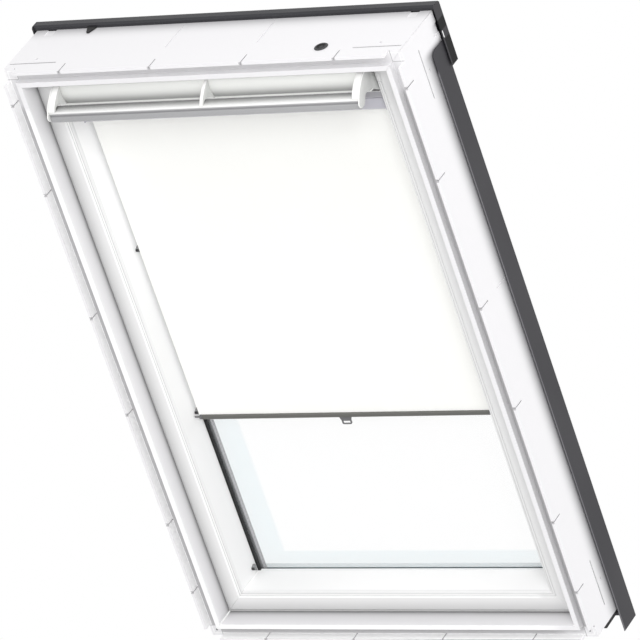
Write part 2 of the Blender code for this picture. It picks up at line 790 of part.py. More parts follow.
def head_end(inset, depth):
    """The head stops at the stiles' sloping inner faces."""
    return SASH_HALF - stile_face(depth) + JOINT


def build_sash():
    edges = (SASH_HALF, SASH_LOW, SASH_TOP)
    centre = (0, at(PIVOT_DEPTH), PIVOT_HEIGHT)
    solids = []
    for side, name in (("left", "sash_stile_left"), ("right", "sash_stile_right")):
        stile = member(name, sash_section(), side, edges, WHITE, (mitre, square))
        sign = -1 if side == "left" else 1
        across = sorted((sign * (SASH_HALF + 0.002), sign * (SASH_HALF - PIVOT_PLATE - JOINT)))
        combine(stile, cutter("arm_pocket_" + side, [pivot_box(across, JOINT)]))
        solids.append(stile)
    sill = member("sash_sill", sash_section(), "sill", edges, WHITE, (mitre, mitre))
    pocket = SASH_HALF - REBATE_WALL
    spare = 0.003
    low_wall = SASH_LOW + REBATE_WALL - SILL_GLASS_DROP
    high_wall = SASH_LOW + REBATE_WALL + spare
    combine(sill, cutter("sill_glass_pocket", [((-pocket, at(GLASS_DEPTH), low_wall),
                                                (pocket, at(SASH_REAR) + spare, high_wall))]))
    solids.append(sill)
    head = member("sash_head", head_section(), "head", edges, WHITE, (head_end, head_end))
    vents = []
    height = SASH_TOP - VENT_DROP
    for count in range(VENT_COUNT):
        middle = (count - (VENT_COUNT - 1) / 2) * VENT_PITCH
        vents.append(((middle - VENT_LENGTH / 2, at(TROUGH_BACK) - 0.005, height - VENT_HEIGHT / 2),
                      (middle + VENT_LENGTH / 2, at(SASH_REAR) + 0.005, height + VENT_HEIGHT / 2)))
    combine(head, cutter("vents", vents))
    solids.append(head)
    for solid in solids:
        move_origin(solid, centre)


def sash_ring(name, outer, inner, start, end, material, outer_sink=0, inner_sink=0):
    """A ring inside the sash; outer and inner are insets from the stiles' outer faces.

    The sinks are how much lower the ring's two outlines reach at the sill than those insets.
    """
    drop = HEAD_DROP - SASH_FACE
    shapes = [(SASH_HALF - inset, SASH_LOW + inset - sink, SASH_TOP - inset - drop)
              for inset, sink in ((outer, outer_sink), (inner, inner_sink))]
    return ring(name, shapes[0], shapes[1], start, end, material)


def build_glazing():
    centre = (0, at(PIVOT_DEPTH), PIVOT_HEIGHT)
    half = SASH_HALF - PANE_EDGE
    low = SASH_LOW + PANE_EDGE - SILL_GLASS_DROP
    high = SASH_TOP - HEAD_REBATE - PANE_CLEAR
    inner = GLASS_DEPTH + JOINT
    solids = [
        block("pane_inner", (-half, at(inner), low), (half, at(inner + PANE_THICK), high), GLASS),
        block("pane_outer", (-half, at(OUTER_DEPTH), low), (half, at(OUTER_DEPTH + PANE_THICK), high), GLASS),
        sash_ring("glass_spacer", SPACER_OUTER, SPACER_INNER, SPACER_DEPTH, SPACER_DEPTH + SPACER_THICK,
                  SILVER, SILL_GLASS_DROP, SILL_GLASS_DROP),
        sash_ring("glazing_gasket", GASKET_OUTER, GASKET_INNER, GASKET_DEPTH + JOINT, GLASS_DEPTH, RUBBER,
                  inner_sink=SILL_GASKET_DROP),
    ]
    for solid in solids:
        move_origin(solid, centre)


def build_sash_covers():
    centre = (0, at(PIVOT_DEPTH), PIVOT_HEIGHT)
    plate = SASH_REAR + JOINT
    seat = OUTER_DEPTH + PANE_THICK + JOINT
    edges = (SASH_HALF, SASH_LOW, SASH_TOP)
    side_section = [
        (COVER_CLEAR, plate),
        (SASH_COVER_WIDTH - SHEET, plate),
        (SASH_COVER_WIDTH - SHEET, seat),
        (SASH_COVER_WIDTH, seat),
        (SASH_COVER_WIDTH, plate + SHEET),
        (COVER_CLEAR, plate + SHEET),
    ]

    def over_sill(inset, depth):
        return SASH_COVER_WIDTH + JOINT

    def under_head(inset, depth):
        return TOP_COVER_END + JOINT

    solids = []
    for side in ("left", "right"):
        solids.append(member("sash_cover_" + side, side_section, side, edges, COVER, (over_sill, under_head)))
    top_section = [
        (TOP_COVER_START, plate),
        (TOP_COVER_END - SHEET, plate),
        (TOP_COVER_END - SHEET, seat),
        (TOP_COVER_END, seat),
        (TOP_COVER_END, plate + SHEET),
        (TOP_COVER_START, plate + SHEET),
    ]

    def short(inset, depth):
        return COVER_CLEAR

    solids.append(member("sash_cover_top", top_section, "head", edges, COVER, (short, short)))
    flange = FRAME_DEPTH + JOINT + SHEET + FLANGE_RISE
    bottom_section = [
        (SASH_COVER_WIDTH, seat),
        (SASH_COVER_WIDTH, plate + SHEET),
        (FLANGE_LAND + SHEET, plate + SHEET),
        (FLANGE_LAND + SHEET, flange + SHEET),
        (-BOTTOM_FLANGE, flange + SHEET),
        (-BOTTOM_FLANGE, flange),
        (FLANGE_LAND, flange),
        (FLANGE_LAND, plate),
        (SASH_COVER_WIDTH - SHEET, plate),
        (SASH_COVER_WIDTH - SHEET, seat),
    ]
    solids.append(member("sash_cover_bottom", bottom_section, "sill", edges, COVER, (short, short)))
    clear = SASH_HALF - SASH_COVER_WIDTH - JOINT
    for cover in solids[2:]:
        ends = []
        for left, right in ((-HALF, -clear), (clear, HALF)):
            ends.append(((left, at(seat) - 0.005, 0), (right, at(plate), HEIGHT)))
        combine(cover, cutter(cover.name + "_lip_ends", ends))
    for solid in solids:
        move_origin(solid, centre)


def build_trough_parts():
    centre = (0, at(PIVOT_DEPTH), PIVOT_HEIGHT)
    back = at(TROUGH_BACK) - JOINT
    top = SASH_TOP - FILTER_DROP
    filter_strip = block("air_filter", (-FILTER_LENGTH / 2, back - FILTER_THICK, top - FILTER_HEIGHT),
                         (FILTER_LENGTH / 2, back, top), FOAM)
    floor = SASH_TOP - TROUGH_LOW + JOINT
    lock = block("lock_case", (-LOCK_WIDTH / 2, back - LOCK_THICK, floor),
                 (LOCK_WIDTH / 2, back, floor + LOCK_HEIGHT), STEEL)
    for solid in (filter_strip, lock):
        move_origin(solid, centre)


# Ventilation flap with its control bar


def cove(share):
    """Depth and height of the flap's room face, from its top edge (0) to its bead (1)."""
    top = SASH_TOP - FLAP_TOP_DROP
    low = FLAP_AXIS_HEIGHT + FLAP_BEAD * 0.6
    front = FLAP_AXIS_DEPTH - FLAP_BEAD
    depth = front + FLAP_COVE * sin(pi * share ** 1.3)
    return depth, top + (low - top) * share


def flap_section():
    steps = 10
    face = [cove(step / steps) for step in range(steps + 1)]
    outline = [(at(depth), height) for depth, height in face]
    for step in range(1, 8):
        angle = pi * 0.83 + step * pi * 1.15 / 8
        outline.append((at(FLAP_AXIS_DEPTH) + FLAP_BEAD * cos(angle),
                        FLAP_AXIS_HEIGHT + FLAP_BEAD * sin(angle)))
    back = [(at(depth + FLAP_THICK), height) for depth, height in reversed(face[:-1])]
    return outline + back


def bar_section():
    """Flat back and rounded front."""
    back = at(BAR_FRONT + BAR_THICK)
    half = BAR_TALL / 2
    middle = BAR_LOW + half
    outline = [(back, middle + half * 0.75), (back, middle - half * 0.75)]
    for step in range(9):
        angle = -pi / 2 - pi * step / 8
        outline.append((back - 0.004 + (BAR_THICK - 0.004) * cos(angle), middle + half * sin(angle)))
    return list(reversed(outline))


def bracket_section(wraps_bar):
    """A fin from the flap's cove down to the bar; the end ones close the bar's end."""
    steps = 8
    shares = [0.05 + 0.85 * step / steps for step in range(steps + 1)]
    seat = [cove(share) for share in shares]
    outline = [(at(depth - JOINT), height) for depth, height in seat]
    back = BAR_FRONT + BAR_THICK
    middle = BAR_LOW + BAR_TALL / 2
    low_curve = []
    end_depth, end_height = seat[-1]
    for step in range(1, 6):
        share = step / 6
        depth = end_depth - JOINT + (back + 0.004 - end_depth) * share
        low_curve.append((at(depth), end_height + 0.006 * sin(pi * share)))
    outline += low_curve
    if wraps_bar:
        for step in range(9):
            angle = -pi / 2 - pi * step / 8
            outline.append((at(back) - 0.004 + (BAR_THICK - 0.004) * cos(angle),
                            middle + BAR_TALL / 2 * sin(angle)))
    else:
        outline.append((at(back + JOINT), middle - BAR_TALL * 0.3))
        outline.append((at(back + JOINT), middle + BAR_TALL * 0.37))
        outline.append((at(back - 0.003), middle + BAR_TALL / 2 + JOINT))
    outline.append((at(BAR_FRONT + 0.008), middle + BAR_TALL / 2 + 0.0035))
    return outline


def build_flap():
    axis = (0, at(FLAP_AXIS_DEPTH), FLAP_AXIS_HEIGHT)
    outer = FLAP_HALF - JOINT
    inner = outer - BRACKET_THICK
    solids = [
        prism("vent_flap", [flap_section()], -FLAP_HALF, FLAP_HALF, "YZ", FLAP_WHITE, smooth=True),
        prism("control_bar", [bar_section()], -inner + JOINT, inner - JOINT, "YZ", BAR_METAL, smooth=True),
        prism("bar_bracket_right", [bracket_section(True)], inner, outer, "YZ", WHITE),
        prism("bar_bracket_left", [bracket_section(True)], -outer, -inner, "YZ", WHITE),
        prism("bar_bracket_middle", [bracket_section(False)], -MIDDLE_BRACKET_THICK / 2,
              MIDDLE_BRACKET_THICK / 2, "YZ", WHITE),
    ]
    for solid in solids:
        move_origin(solid, axis)


# Roller blind


def build_headrail():
    centre = (0, at(PIVOT_DEPTH), PIVOT_HEIGHT)
    low = RAIL_TOP - RAIL_TALL
    front = at(RAIL_DEPTH)
    back = at(RAIL_DEPTH + RAIL_REACH)
    slot_front = at(FABRIC_DEPTH) - RAIL_SLOT / 2
    slot_back = at(FABRIC_DEPTH) + RAIL_SLOT / 2
    wall = RAIL_WALL
    corner = 0.004
    section = [
        (slot_front, low),
        (front + corner, low),
        (front, low + corner),
        (front, RAIL_TOP - corner),
        (front + corner, RAIL_TOP),
        (back, RAIL_TOP),
        (back, low),
        (slot_back, low),
        (slot_back, low + wall),
        (back - wall, low + wall),
        (back - wall, RAIL_TOP - wall),
        (front + corner, RAIL_TOP - wall),
        (front + wall, RAIL_TOP - corner),
        (front + wall, low + corner),
        (front + corner, low + wall),
        (slot_front, low + wall),
    ]
    inner = BLIND_HALF - RAIL_END_THICK
    rail = prism("blind_headrail", [section], -inner + JOINT, inner - JOINT, "YZ", RAIL_GREY)
    solids = [rail]
    plate = rectangle(front, low, back, RAIL_TOP)
    for side, sign in (("left", -1), ("right", 1)):
        across = sorted((sign * inner, sign * BLIND_HALF))
        end = prism("headrail_end_" + side, [plate], across[0], across[1], "YZ", RAIL_GREY)
        hole = sorted((sign * (inner - 0.002), sign * (BLIND_HALF + 0.002)))
        combine(end, spindle("journal_hole_" + side, JOURNAL_RADIUS + PIN_PLAY, *hole,
                             (at(TUBE_DEPTH), TUBE_HEIGHT)))
        solids.append(end)
    for solid in solids:
        move_origin(solid, centre)


def build_tube():
    half = BLIND_HALF - RAIL_END_THICK - TUBE_END_GAP
    end = BLIND_HALF - 0.0005
    profile = [
        (0, end),
        (JOURNAL_RADIUS, end),
        (JOURNAL_RADIUS, half),
        (TUBE_RADIUS, half),
        (TUBE_RADIUS, -half),
        (JOURNAL_RADIUS, -half),
        (JOURNAL_RADIUS, -end),
        (0, -end),
    ]
    tube = turned("roller_tube", profile, SILVER)
    tube.data.transform(Matrix.Rotation(pi / 2, 4, "Y"))
    finish(tube, SILVER, smooth=True)
    tube.location = (0, at(TUBE_DEPTH), TUBE_HEIGHT)


def build_fabric():
    centre = (0, at(PIVOT_DEPTH), PIVOT_HEIGHT)
    back = FABRIC_DEPTH + FABRIC_THICK / 2
    reach = TUBE_RADIUS + JOINT
    top = TUBE_HEIGHT - sqrt(reach ** 2 - (TUBE_DEPTH - back) ** 2)
    low = BOTTOM_BAR_HEIGHT + BOTTOM_BAR_TALL / 2 + JOINT
    cloth = block("blind_fabric", (-FABRIC_HALF, at(back - FABRIC_THICK), low), (FABRIC_HALF, at(back), top),
                  CLOTH)
    move_origin(cloth, centre)


def build_bottom_bar():
    centre = (0, at(FABRIC_DEPTH), BOTTOM_BAR_HEIGHT)
    half_tall = BOTTOM_BAR_TALL / 2
    half_thick = BOTTOM_BAR_THICK / 2
    rounding = 0.0015
    section = [
        (centre[1] - half_thick + rounding, centre[2] - half_tall),
        (centre[1] + half_thick - rounding, centre[2] - half_tall),
        (centre[1] + half_thick, centre[2] - half_tall + rounding),
        (centre[1] + half_thick, centre[2] + half_tall - rounding),
        (centre[1] + half_thick - rounding, centre[2] + half_tall),
        (centre[1] - half_thick + rounding, centre[2] + half_tall),
        (centre[1] - half_thick, centre[2] + half_tall - rounding),
        (centre[1] - half_thick, centre[2] - half_tall + rounding),
    ]
    shoulder = FABRIC_HALF
    inner = shoulder - BAR_END_LENGTH
    bar = prism("bottom_bar", [section], -inner + JOINT, inner - JOINT, "YZ", BLIND_GREY)
    move_origin(bar, centre)
    profile = [
        (0, HANG_PIN_REACH),
        (HANG_PIN_RADIUS, HANG_PIN_REACH),
        (HANG_PIN_RADIUS, shoulder),
        (BAR_END_RADIUS - 0.001, shoulder),
        (BAR_END_RADIUS, shoulder - 0.001),
        (BAR_END_RADIUS, inner),
        (0, inner),
    ]
    for side, turn in (("right", pi / 2), ("left", -pi / 2)):
        end = turned("bar_end_" + side, profile, BLIND_GREY, sides=16)
        end.data.transform(Matrix.Rotation(turn, 4, "Y"))
        finish(end, BLIND_GREY, smooth=True)
        end.location = centre
    top = BOTTOM_BAR_HEIGHT - half_tall - JOINT
    low = top - TAB_TALL
    waist = top - TAB_TALL * 0.45
    slot = low + TAB_RIM
    outline = [
        (-TAB_TOP_HALF, top),
        (-TAB_LOW_HALF, waist),
        (-TAB_LOW_HALF, low + 0.002),
        (-TAB_LOW_HALF + 0.002, low),
        (TAB_LOW_HALF - 0.002, low),
        (TAB_LOW_HALF, low + 0.002),
        (TAB_LOW_HALF, waist),
        (TAB_TOP_HALF, top),
    ]
    hole = rectangle(-TAB_SLOT_HALF, slot, TAB_SLOT_HALF, slot + TAB_SLOT_TALL)
    front = at(FABRIC_DEPTH) - TAB_THICK / 2
    tab = prism("pull_tab", [outline, hole], front, front + TAB_THICK, "XZ", BLIND_GREY)
    move_origin(tab, centre)


def hook_section(height):
    """An inverted V with a foot; the hanging pin passes just in front of it."""
    front = at(HOOK_FRONT)
    top = height + HOOK_TALL / 2
    low = height - HOOK_TALL / 2
    return [
        (front, low),
        (front + HOOK_SPREAD * 0.35, top),
        (front + HOOK_SPREAD * 0.55, top),
        (front + HOOK_SPREAD, low),
        (front + HOOK_SPREAD * 0.70, low),
        (front + HOOK_SPREAD * 0.48, height),
        (front + HOOK_SPREAD * 0.28, low),
    ]


def build_hooks():
    centre = (0, at(PIVOT_DEPTH), PIVOT_HEIGHT)
    for level, height in HOOK_HEIGHTS.items():
        for side, sign in (("left", -1), ("right", 1)):
            hook = raw_prism("hook_" + side + "_" + level, [hook_section(height)], 0, 1, "YZ")
            for vertex in hook.data.vertices:
                wall = stile_face(vertex.co.y - LIP_PLANE) - JOINT
                tip = stile_face(HOOK_FRONT) - HOOK_REACH
                vertex.co.x = sign * (wall if vertex.co.x > 0.5 else tip)
            move_origin(finish(hook, BLIND_GREY), centre)


build_frame()
build_grommet()
build_frame_gasket()
build_frame_covers()
build_casing_lug()
build_pivots()
build_sash()
build_glazing()
build_sash_covers()
build_trough_parts()
build_flap()
build_headrail()
build_tube()
build_fabric()
build_bottom_bar()
build_hooks()
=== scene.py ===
"""Looks of the roof window and its roller blind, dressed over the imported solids."""
import json
import math

import bmesh
import bpy
from mathutils import Matrix, Vector

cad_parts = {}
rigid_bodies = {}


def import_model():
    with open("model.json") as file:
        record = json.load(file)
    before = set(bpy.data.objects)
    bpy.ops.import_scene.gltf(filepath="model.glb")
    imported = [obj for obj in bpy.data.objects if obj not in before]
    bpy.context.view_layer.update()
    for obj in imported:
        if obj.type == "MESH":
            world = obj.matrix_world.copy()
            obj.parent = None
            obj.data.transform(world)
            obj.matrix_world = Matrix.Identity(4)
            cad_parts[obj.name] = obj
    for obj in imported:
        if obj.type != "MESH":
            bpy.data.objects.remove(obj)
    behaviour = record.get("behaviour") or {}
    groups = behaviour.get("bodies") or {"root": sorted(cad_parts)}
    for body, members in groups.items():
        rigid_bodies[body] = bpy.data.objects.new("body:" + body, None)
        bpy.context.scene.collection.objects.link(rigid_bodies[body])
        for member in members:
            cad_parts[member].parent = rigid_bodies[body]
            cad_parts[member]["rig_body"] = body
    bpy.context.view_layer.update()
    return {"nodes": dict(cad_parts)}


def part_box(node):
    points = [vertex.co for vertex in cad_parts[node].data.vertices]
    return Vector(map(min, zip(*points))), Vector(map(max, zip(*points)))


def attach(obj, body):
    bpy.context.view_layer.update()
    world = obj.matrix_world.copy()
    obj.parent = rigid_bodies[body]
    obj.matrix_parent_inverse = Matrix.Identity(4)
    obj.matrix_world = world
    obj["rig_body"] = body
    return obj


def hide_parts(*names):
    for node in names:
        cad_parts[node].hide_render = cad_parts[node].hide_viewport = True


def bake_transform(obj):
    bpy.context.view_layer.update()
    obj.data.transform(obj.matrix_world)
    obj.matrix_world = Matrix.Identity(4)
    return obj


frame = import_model()
NODES = frame["nodes"]

# Camera, worked out from the frame's straight edges in the photo
CAMERA_PLACE = (5.8390, -8.1877, 5.8170)
CAMERA_TURN = math.radians(35.265)
CAMERA_RISE = math.radians(27.259)
CAMERA_ROLL = math.radians(-19.350)
CAMERA_LENS = 372.55
SENSOR = 36.0

# Sizes shared with the solids, in metres; depths are counted from the lip plane
LIP_PLANE = -0.030
WIDTH = 0.780
HEIGHT = 1.178
HALF = WIDTH / 2
COVER_EDGE = 0.098
COVER_TOP = 1.1225
FRAME_REAR = 0.1445
LIP_THICK = 0.005
GROOVE_END = 0.0223
GROOVE_FLOOR = 0.0180
STRIP_END = 0.0316
FRAME_FACE = 0.038
REVEAL_START = 0.006
REVEAL_END = 0.036
SASH_EDGE = 0.0415
SASH_FRONT = 0.0375
SASH_REVEAL = 0.044
STILE_FACE = 0.024
QUIRK = 0.0285
QUIRK_LINE = 0.0011
# How dark the painted shade in the sash's two moulding lines is
QUIRK_DARK = 0.22
SECOND_LINE = 0.0043

# Saw slots in the outer faces, as long as a bracket, and how far their shade reaches in
HEAD_SLOT_DEPTH = 0.032
JAMB_SLOT_DEPTH = 0.068
HEAD_SLOT_START = 0.0050
JAMB_SLOT_START = 0.0315
SLOT_LENGTH = 0.093
SLOT_HALF = 0.0010
SLOT_REACH = 0.0035
SLOT_DARK = 0.8

# Painted shade in the kerfs across the lips, and a wider spot of it where each leaves the lips' front
KERF_PITCH = 0.180
KERF_DEPTH = 0.027
KERF_HALF = 0.0011
KERF_DARK = 0.40
KERF_REACH = 0.0054
JAMB_KERF_SHARES = (0.0891, 0.2122, 0.4096, 0.5798, 0.7937, 0.9457)
KERF_SPOT_HALF = 0.0032
KERF_SPOT_DEPTH = 0.0020
KERF_SPOT_DARK = 0.38

# Squares left without painted shade, with a dark seam round them, in the groove's corners, and nail holes
# in the lower two
CORNER_SQUARE = 0.0214
CORNER_HOLE = 0.0125
SEAM_DARK = 0.45
HOLE_DARK = 0.75

# Painted highlight along the lower mitres, up to this height
MITRE_TOP = 0.305
FRAME_MITRE_HALF = 0.0017
SASH_MITRE_HALF = 0.0019

# Painted shade: the sash's nose under its head is painted grey
SASH_NOSE_LOW = 1.0600
SASH_NOSE_HIGH = 1.0822
SASH_NOSE_HALF = 0.311

# How dark the painted shade gets beside the side covers, on the top's rear and at the lip's inner edge
SIDE_SHADE = 0.72
TOP_SHADE = 0.35
LIP_EDGE_SHADE = 0.5

# Ranges over which a mark changes as it reaches the right jamb and the head
JAMB_FADE = (0.30, 0.34)
HEAD_FADE = (1.09, 1.11)

# Blue cast along the glass's left side and foot
DAYLIGHT_HALF = 0.302
DAYLIGHT_LOW = 0.0868
SIDE_CAST = 0.050
FOOT_CAST = 0.025

# How soft the edges of painted marks are, from hard to blurred
HARD = 0.0001
CRISP = 0.0002
SOFT = 0.0003
SOFTER = 0.0005
BLURRED = 0.001

# Rounding of the pieces' edges; faces narrower than the limit are parts of rounded edges and coves
EDGE_THIN = 0.0002
EDGE_FINE = 0.0003
EDGE_SMALL = 0.0004
EDGE_SOFT = 0.0005
EDGE_ROUND = 0.0006
EDGE_STEPS = 2
EDGE_ANGLE = math.radians(30)
CREASE_ANGLE = math.radians(32)
STRIP_LIMIT = 0.0013


def at(depth):
    """Y of a depth counted from the lip plane."""
    return LIP_PLANE + depth


# Node graphs


class Graph:
    """A material's node tree, built with short calls."""

    def __init__(self, name, colour, roughness, **sockets):
        self.material = bpy.data.materials.new(name)
        self.material.use_nodes = True
        self.tree = self.material.node_tree
        self.shader = self.tree.nodes["Principled BSDF"]
        self.shader.inputs["Base Color"].default_value = (*colour, 1.0)
        self.shader.inputs["Roughness"].default_value = roughness
        for socket, value in sockets.items():
            self.shader.inputs[socket.replace("_", " ")].default_value = value
        self.material.diffuse_color = (*colour, 1.0)
        self.place = self.node("ShaderNodeTexCoord").outputs["Object"]

    def node(self, kind, settings=(), **values):
        made = self.tree.nodes.new(kind)
        for key, value in dict(settings).items():
            setattr(made, key, value)
        for key, value in values.items():
            self.feed(made.inputs[key.replace("_", " ")], value)
        return made

    def feed(self, socket, value):
        """Link a socket to another one, or set its value."""
        if isinstance(value, bpy.types.NodeSocket):
            self.tree.links.new(value, socket)
        else:
            socket.default_value = value

    def set(self, socket, value):
        self.feed(self.shader.inputs[socket], value)

    def math(self, operation, *values, clamp=False):
        made = self.node("ShaderNodeMath", {"operation": operation, "use_clamp": clamp})
        for socket, value in zip(made.inputs, values):
            self.feed(socket, value)
        return made.outputs[0]

    def chained(self, operation, values, clamp=False):
        """One operation over several values, from left to right."""
        result = values[0]
        for value in values[1:]:
            result = self.math(operation, result, value, clamp=clamp)
        return result

    def times(self, *values, clamp=False):
        return self.chained("MULTIPLY", values, clamp)

    def plus(self, *values, clamp=False):
        return self.chained("ADD", values, clamp)

    def most(self, *values):
        return self.chained("MAXIMUM", values)

    def least(self, *values):
        return self.chained("MINIMUM", values)

    def minus(self, first, second):
        return self.math("SUBTRACT", first, second)

    def size(self, value):
        return self.math("ABSOLUTE", value)

    def power(self, value, exponent):
        return self.math("POWER", value, exponent)

    def distance(self, first, second):
        """How far off a middle a place is, from its two offsets."""
        return self.math("SQRT", self.plus(self.power(first, 2.0), self.power(second, 2.0)))

    def axes(self):
        """The object's coordinates: across, depth and rise."""
        return self.node("ShaderNodeSeparateXYZ", Vector=self.place).outputs

    def stretched(self, scale):
        """Object coordinates, stretched along an axis for grain."""
        return self.node("ShaderNodeMapping", Vector=self.place, Scale=scale).outputs[0]

    def noise(self, scale, detail=2.0, place=None, roughness=0.5):
        return self.node("ShaderNodeTexNoise", Vector=place or self.place, Scale=scale, Detail=detail,
                         Roughness=roughness).outputs[0]

    def spread(self, value, low, high, start=0.0, end=1.0):
        """Map a value's range to another, clamped and eased."""
        made = self.node("ShaderNodeMapRange", {"interpolation_type": "SMOOTHSTEP"}, Value=value)
        for key, number in (("From Min", low), ("From Max", high), ("To Min", start), ("To Max", end)):
            made.inputs[key].default_value = number
        return made.outputs[0]

    def above(self, value, edge, soft=SOFT):
        """One above an edge and nothing below it."""
        return self.spread(value, edge - soft, edge + soft)

    def below(self, value, edge, soft=SOFT):
        """One below an edge and nothing above it."""
        return self.spread(value, edge + soft, edge - soft)

    def between(self, value, low, high, soft=SOFT):
        """One between two limits and nothing outside them."""
        return self.times(self.above(value, low, soft), self.below(value, high, soft))

    def mix(self, factor, first, second):
        made = self.node("ShaderNodeMix", {"data_type": "RGBA"})
        self.feed(made.inputs[0], factor)
        for socket, value in ((made.inputs[6], first), (made.inputs[7], second)):
            self.feed(socket, (*value, 1.0) if isinstance(value, tuple) else value)
        return made.outputs[2]

    def bump(self, height, distance, strength=1.0, normal=None):
        made = self.node("ShaderNodeBump", Height=height, Distance=distance, Strength=strength)
        if normal:
            self.feed(made.inputs["Normal"], normal)
        return made.outputs[0]


def level(value):
    """Linear light of an 8-bit screen value."""
    share = value / 255
    return share / 12.92 if share <= 0.04045 else ((share + 0.055) / 1.055) ** 2.4


def tone(red, green=None, blue=None):
    """Linear colour of 8-bit screen values; one value gives a grey."""
    return (level(red), level(red if green is None else green), level(red if blue is None else blue))


def scaled(colour, share):
    """A colour with all its parts multiplied by a share."""
    return tuple(share * part for part in colour)


WHITE = tone(240)
# Near-white laid on as painted highlights and painted light
PAINTED_LIGHT_WHITE = tone(255)
# Dark laid on as painted shade, and for the seams and nail holes
SHADE_AND_SEAM_DARK = tone(20, 20, 22)
# Painted shade beside the side covers and the casing
COVER_SHADE_GREY = tone(96, 96, 99)
# Painted shade on the sash's nose under the flap
NOSE_SHADE_GREY = tone(168, 167, 172)


# Marks, painted shade and painted highlights, as shares from nothing to one


def insets(graph):
    """Distances in from the frame's nearest side and from its nearest end."""
    across, _, rise = graph.axes()
    from_side = graph.minus(HALF, graph.size(across))
    from_end = graph.least(rise, graph.minus(HEIGHT, rise))
    return from_side, from_end


def inset(graph):
    """Distance in from the frame's nearest outer face."""
    return graph.least(*insets(graph))


def on_right(graph, share, elsewhere=1.0):
    """One value on the left and over the middle, and another on the right jamb."""
    across, _, _ = graph.axes()
    return graph.spread(across, *JAMB_FADE, elsewhere, share)


def on_head(graph, share):
    """One up to the head, and a share of it on the head."""
    _, _, rise = graph.axes()
    return graph.spread(rise, *HEAD_FADE, 1.0, share)


def mitre(graph, half_width):
    """The two lower mitres, where a highlight is painted along the joint."""
    from_side, from_end = insets(graph)
    _, _, rise = graph.axes()
    line = graph.below(graph.size(graph.minus(from_side, from_end)), half_width)
    return graph.times(line, graph.below(rise, MITRE_TOP, 0.005))


def slot_shade(graph):
    """The inside of the saw slots in the frame's outer faces."""
    _, depth, _ = graph.axes()
    from_side, from_end = insets(graph)
    slots = []
    for middle, start, along, skin in ((JAMB_SLOT_DEPTH, JAMB_SLOT_START, from_end, from_side),
                                       (HEAD_SLOT_DEPTH, HEAD_SLOT_START, from_side, from_end)):
        height = graph.between(depth, at(middle - SLOT_HALF), at(middle + SLOT_HALF), CRISP)
        length = graph.between(along, start, start + SLOT_LENGTH, SOFTER)
        slots.append(graph.times(height, length, graph.below(skin, SLOT_REACH, HARD)))
    return graph.most(*slots)


def kerf_shade(graph):
    """Painted shade in the saw kerfs across the lips, and a wider spot of it where each one leaves the
    lip's front.
    """
    across, depth, rise = graph.axes()
    from_side, from_end = insets(graph)
    from_kerf = graph.size(graph.minus(graph.size(across), KERF_PITCH))
    off_end_kerf = graph.size(graph.minus(from_kerf, KERF_PITCH / 2))
    heights = [share * HEIGHT for share in JAMB_KERF_SHARES]
    off_side_kerf = graph.least(*(graph.size(graph.minus(rise, height)) for height in heights))
    kerfs = []
    for off, skin in ((off_end_kerf, from_end), (off_side_kerf, from_side)):
        line = graph.times(KERF_DARK, graph.below(off, KERF_HALF, CRISP),
                           graph.below(depth, at(KERF_DEPTH), SOFTER))
        kerf_spot = graph.times(KERF_SPOT_DARK, graph.below(off, KERF_SPOT_HALF, BLURRED),
                           graph.below(depth, at(KERF_SPOT_DEPTH), 0.0006))
        kerfs.append(graph.times(graph.most(line, kerf_spot), graph.below(skin, KERF_REACH, CRISP)))
    return graph.most(*kerfs)


def cover_painted_shade(graph):
    """Painted shade on the outer faces: darker towards the side covers, and on top towards the rear."""
    across, depth, rise = graph.axes()
    outer = graph.above(graph.size(across), HALF - 0.0010, SOFTER)
    near_cover = graph.power(graph.spread(depth, at(0.052), at(COVER_EDGE)), 2.4)
    under_cover = graph.spread(rise, COVER_TOP + 0.012, COVER_TOP - 0.006)
    side = graph.times(outer, near_cover, under_cover, SIDE_SHADE)
    towards_rear = graph.power(graph.spread(depth, at(0.096), at(FRAME_REAR)), 2.0)
    top = graph.times(graph.above(rise, HEIGHT - 0.0010, SOFTER), towards_rear, TOP_SHADE)
    return graph.plus(side, top, clamp=True)


def frame_painted_shade(graph):
    """Painted shade on a frame member: in its groove, at the lip's inner edge and down the slope to the
    sash.
    """
    across, depth, rise = graph.axes()
    inward = inset(graph)
    in_groove = graph.times(graph.between(inward, LIP_THICK + 0.001, GROOVE_END),
                            graph.above(depth, at(0.003), BLURRED))
    floor = graph.times(graph.above(depth, at(0.016), 0.0015), on_right(graph, 0.0, 0.28))
    groove = graph.plus(graph.spread(inward, LIP_THICK, GROOVE_END, 0.04, 0.36), floor)
    groove = graph.times(groove, on_head(graph, 0.35), on_right(graph, 1.3))
    groove = graph.times(groove, in_groove, clamp=True)
    edge = graph.times(graph.between(inward, LIP_THICK - 0.0005, LIP_THICK + 0.0003, CRISP),
                       graph.below(depth, at(0.0015), SOFTER), graph.spread(across, -0.35, 0.35),
                       LIP_EDGE_SHADE)
    down = graph.math("DIVIDE", graph.minus(depth, at(REVEAL_START)), REVEAL_END - REVEAL_START, clamp=True)
    slope = graph.plus(graph.times(graph.power(down, 6.0), 0.42), graph.times(down, 0.20),
                       graph.spread(rise, 0.045, 0.035, 0.06, 0.14))
    slope = graph.times(slope, graph.between(inward, STRIP_END, FRAME_FACE + 0.001))
    return graph.plus(graph.plus(groove, edge), slope, clamp=True)


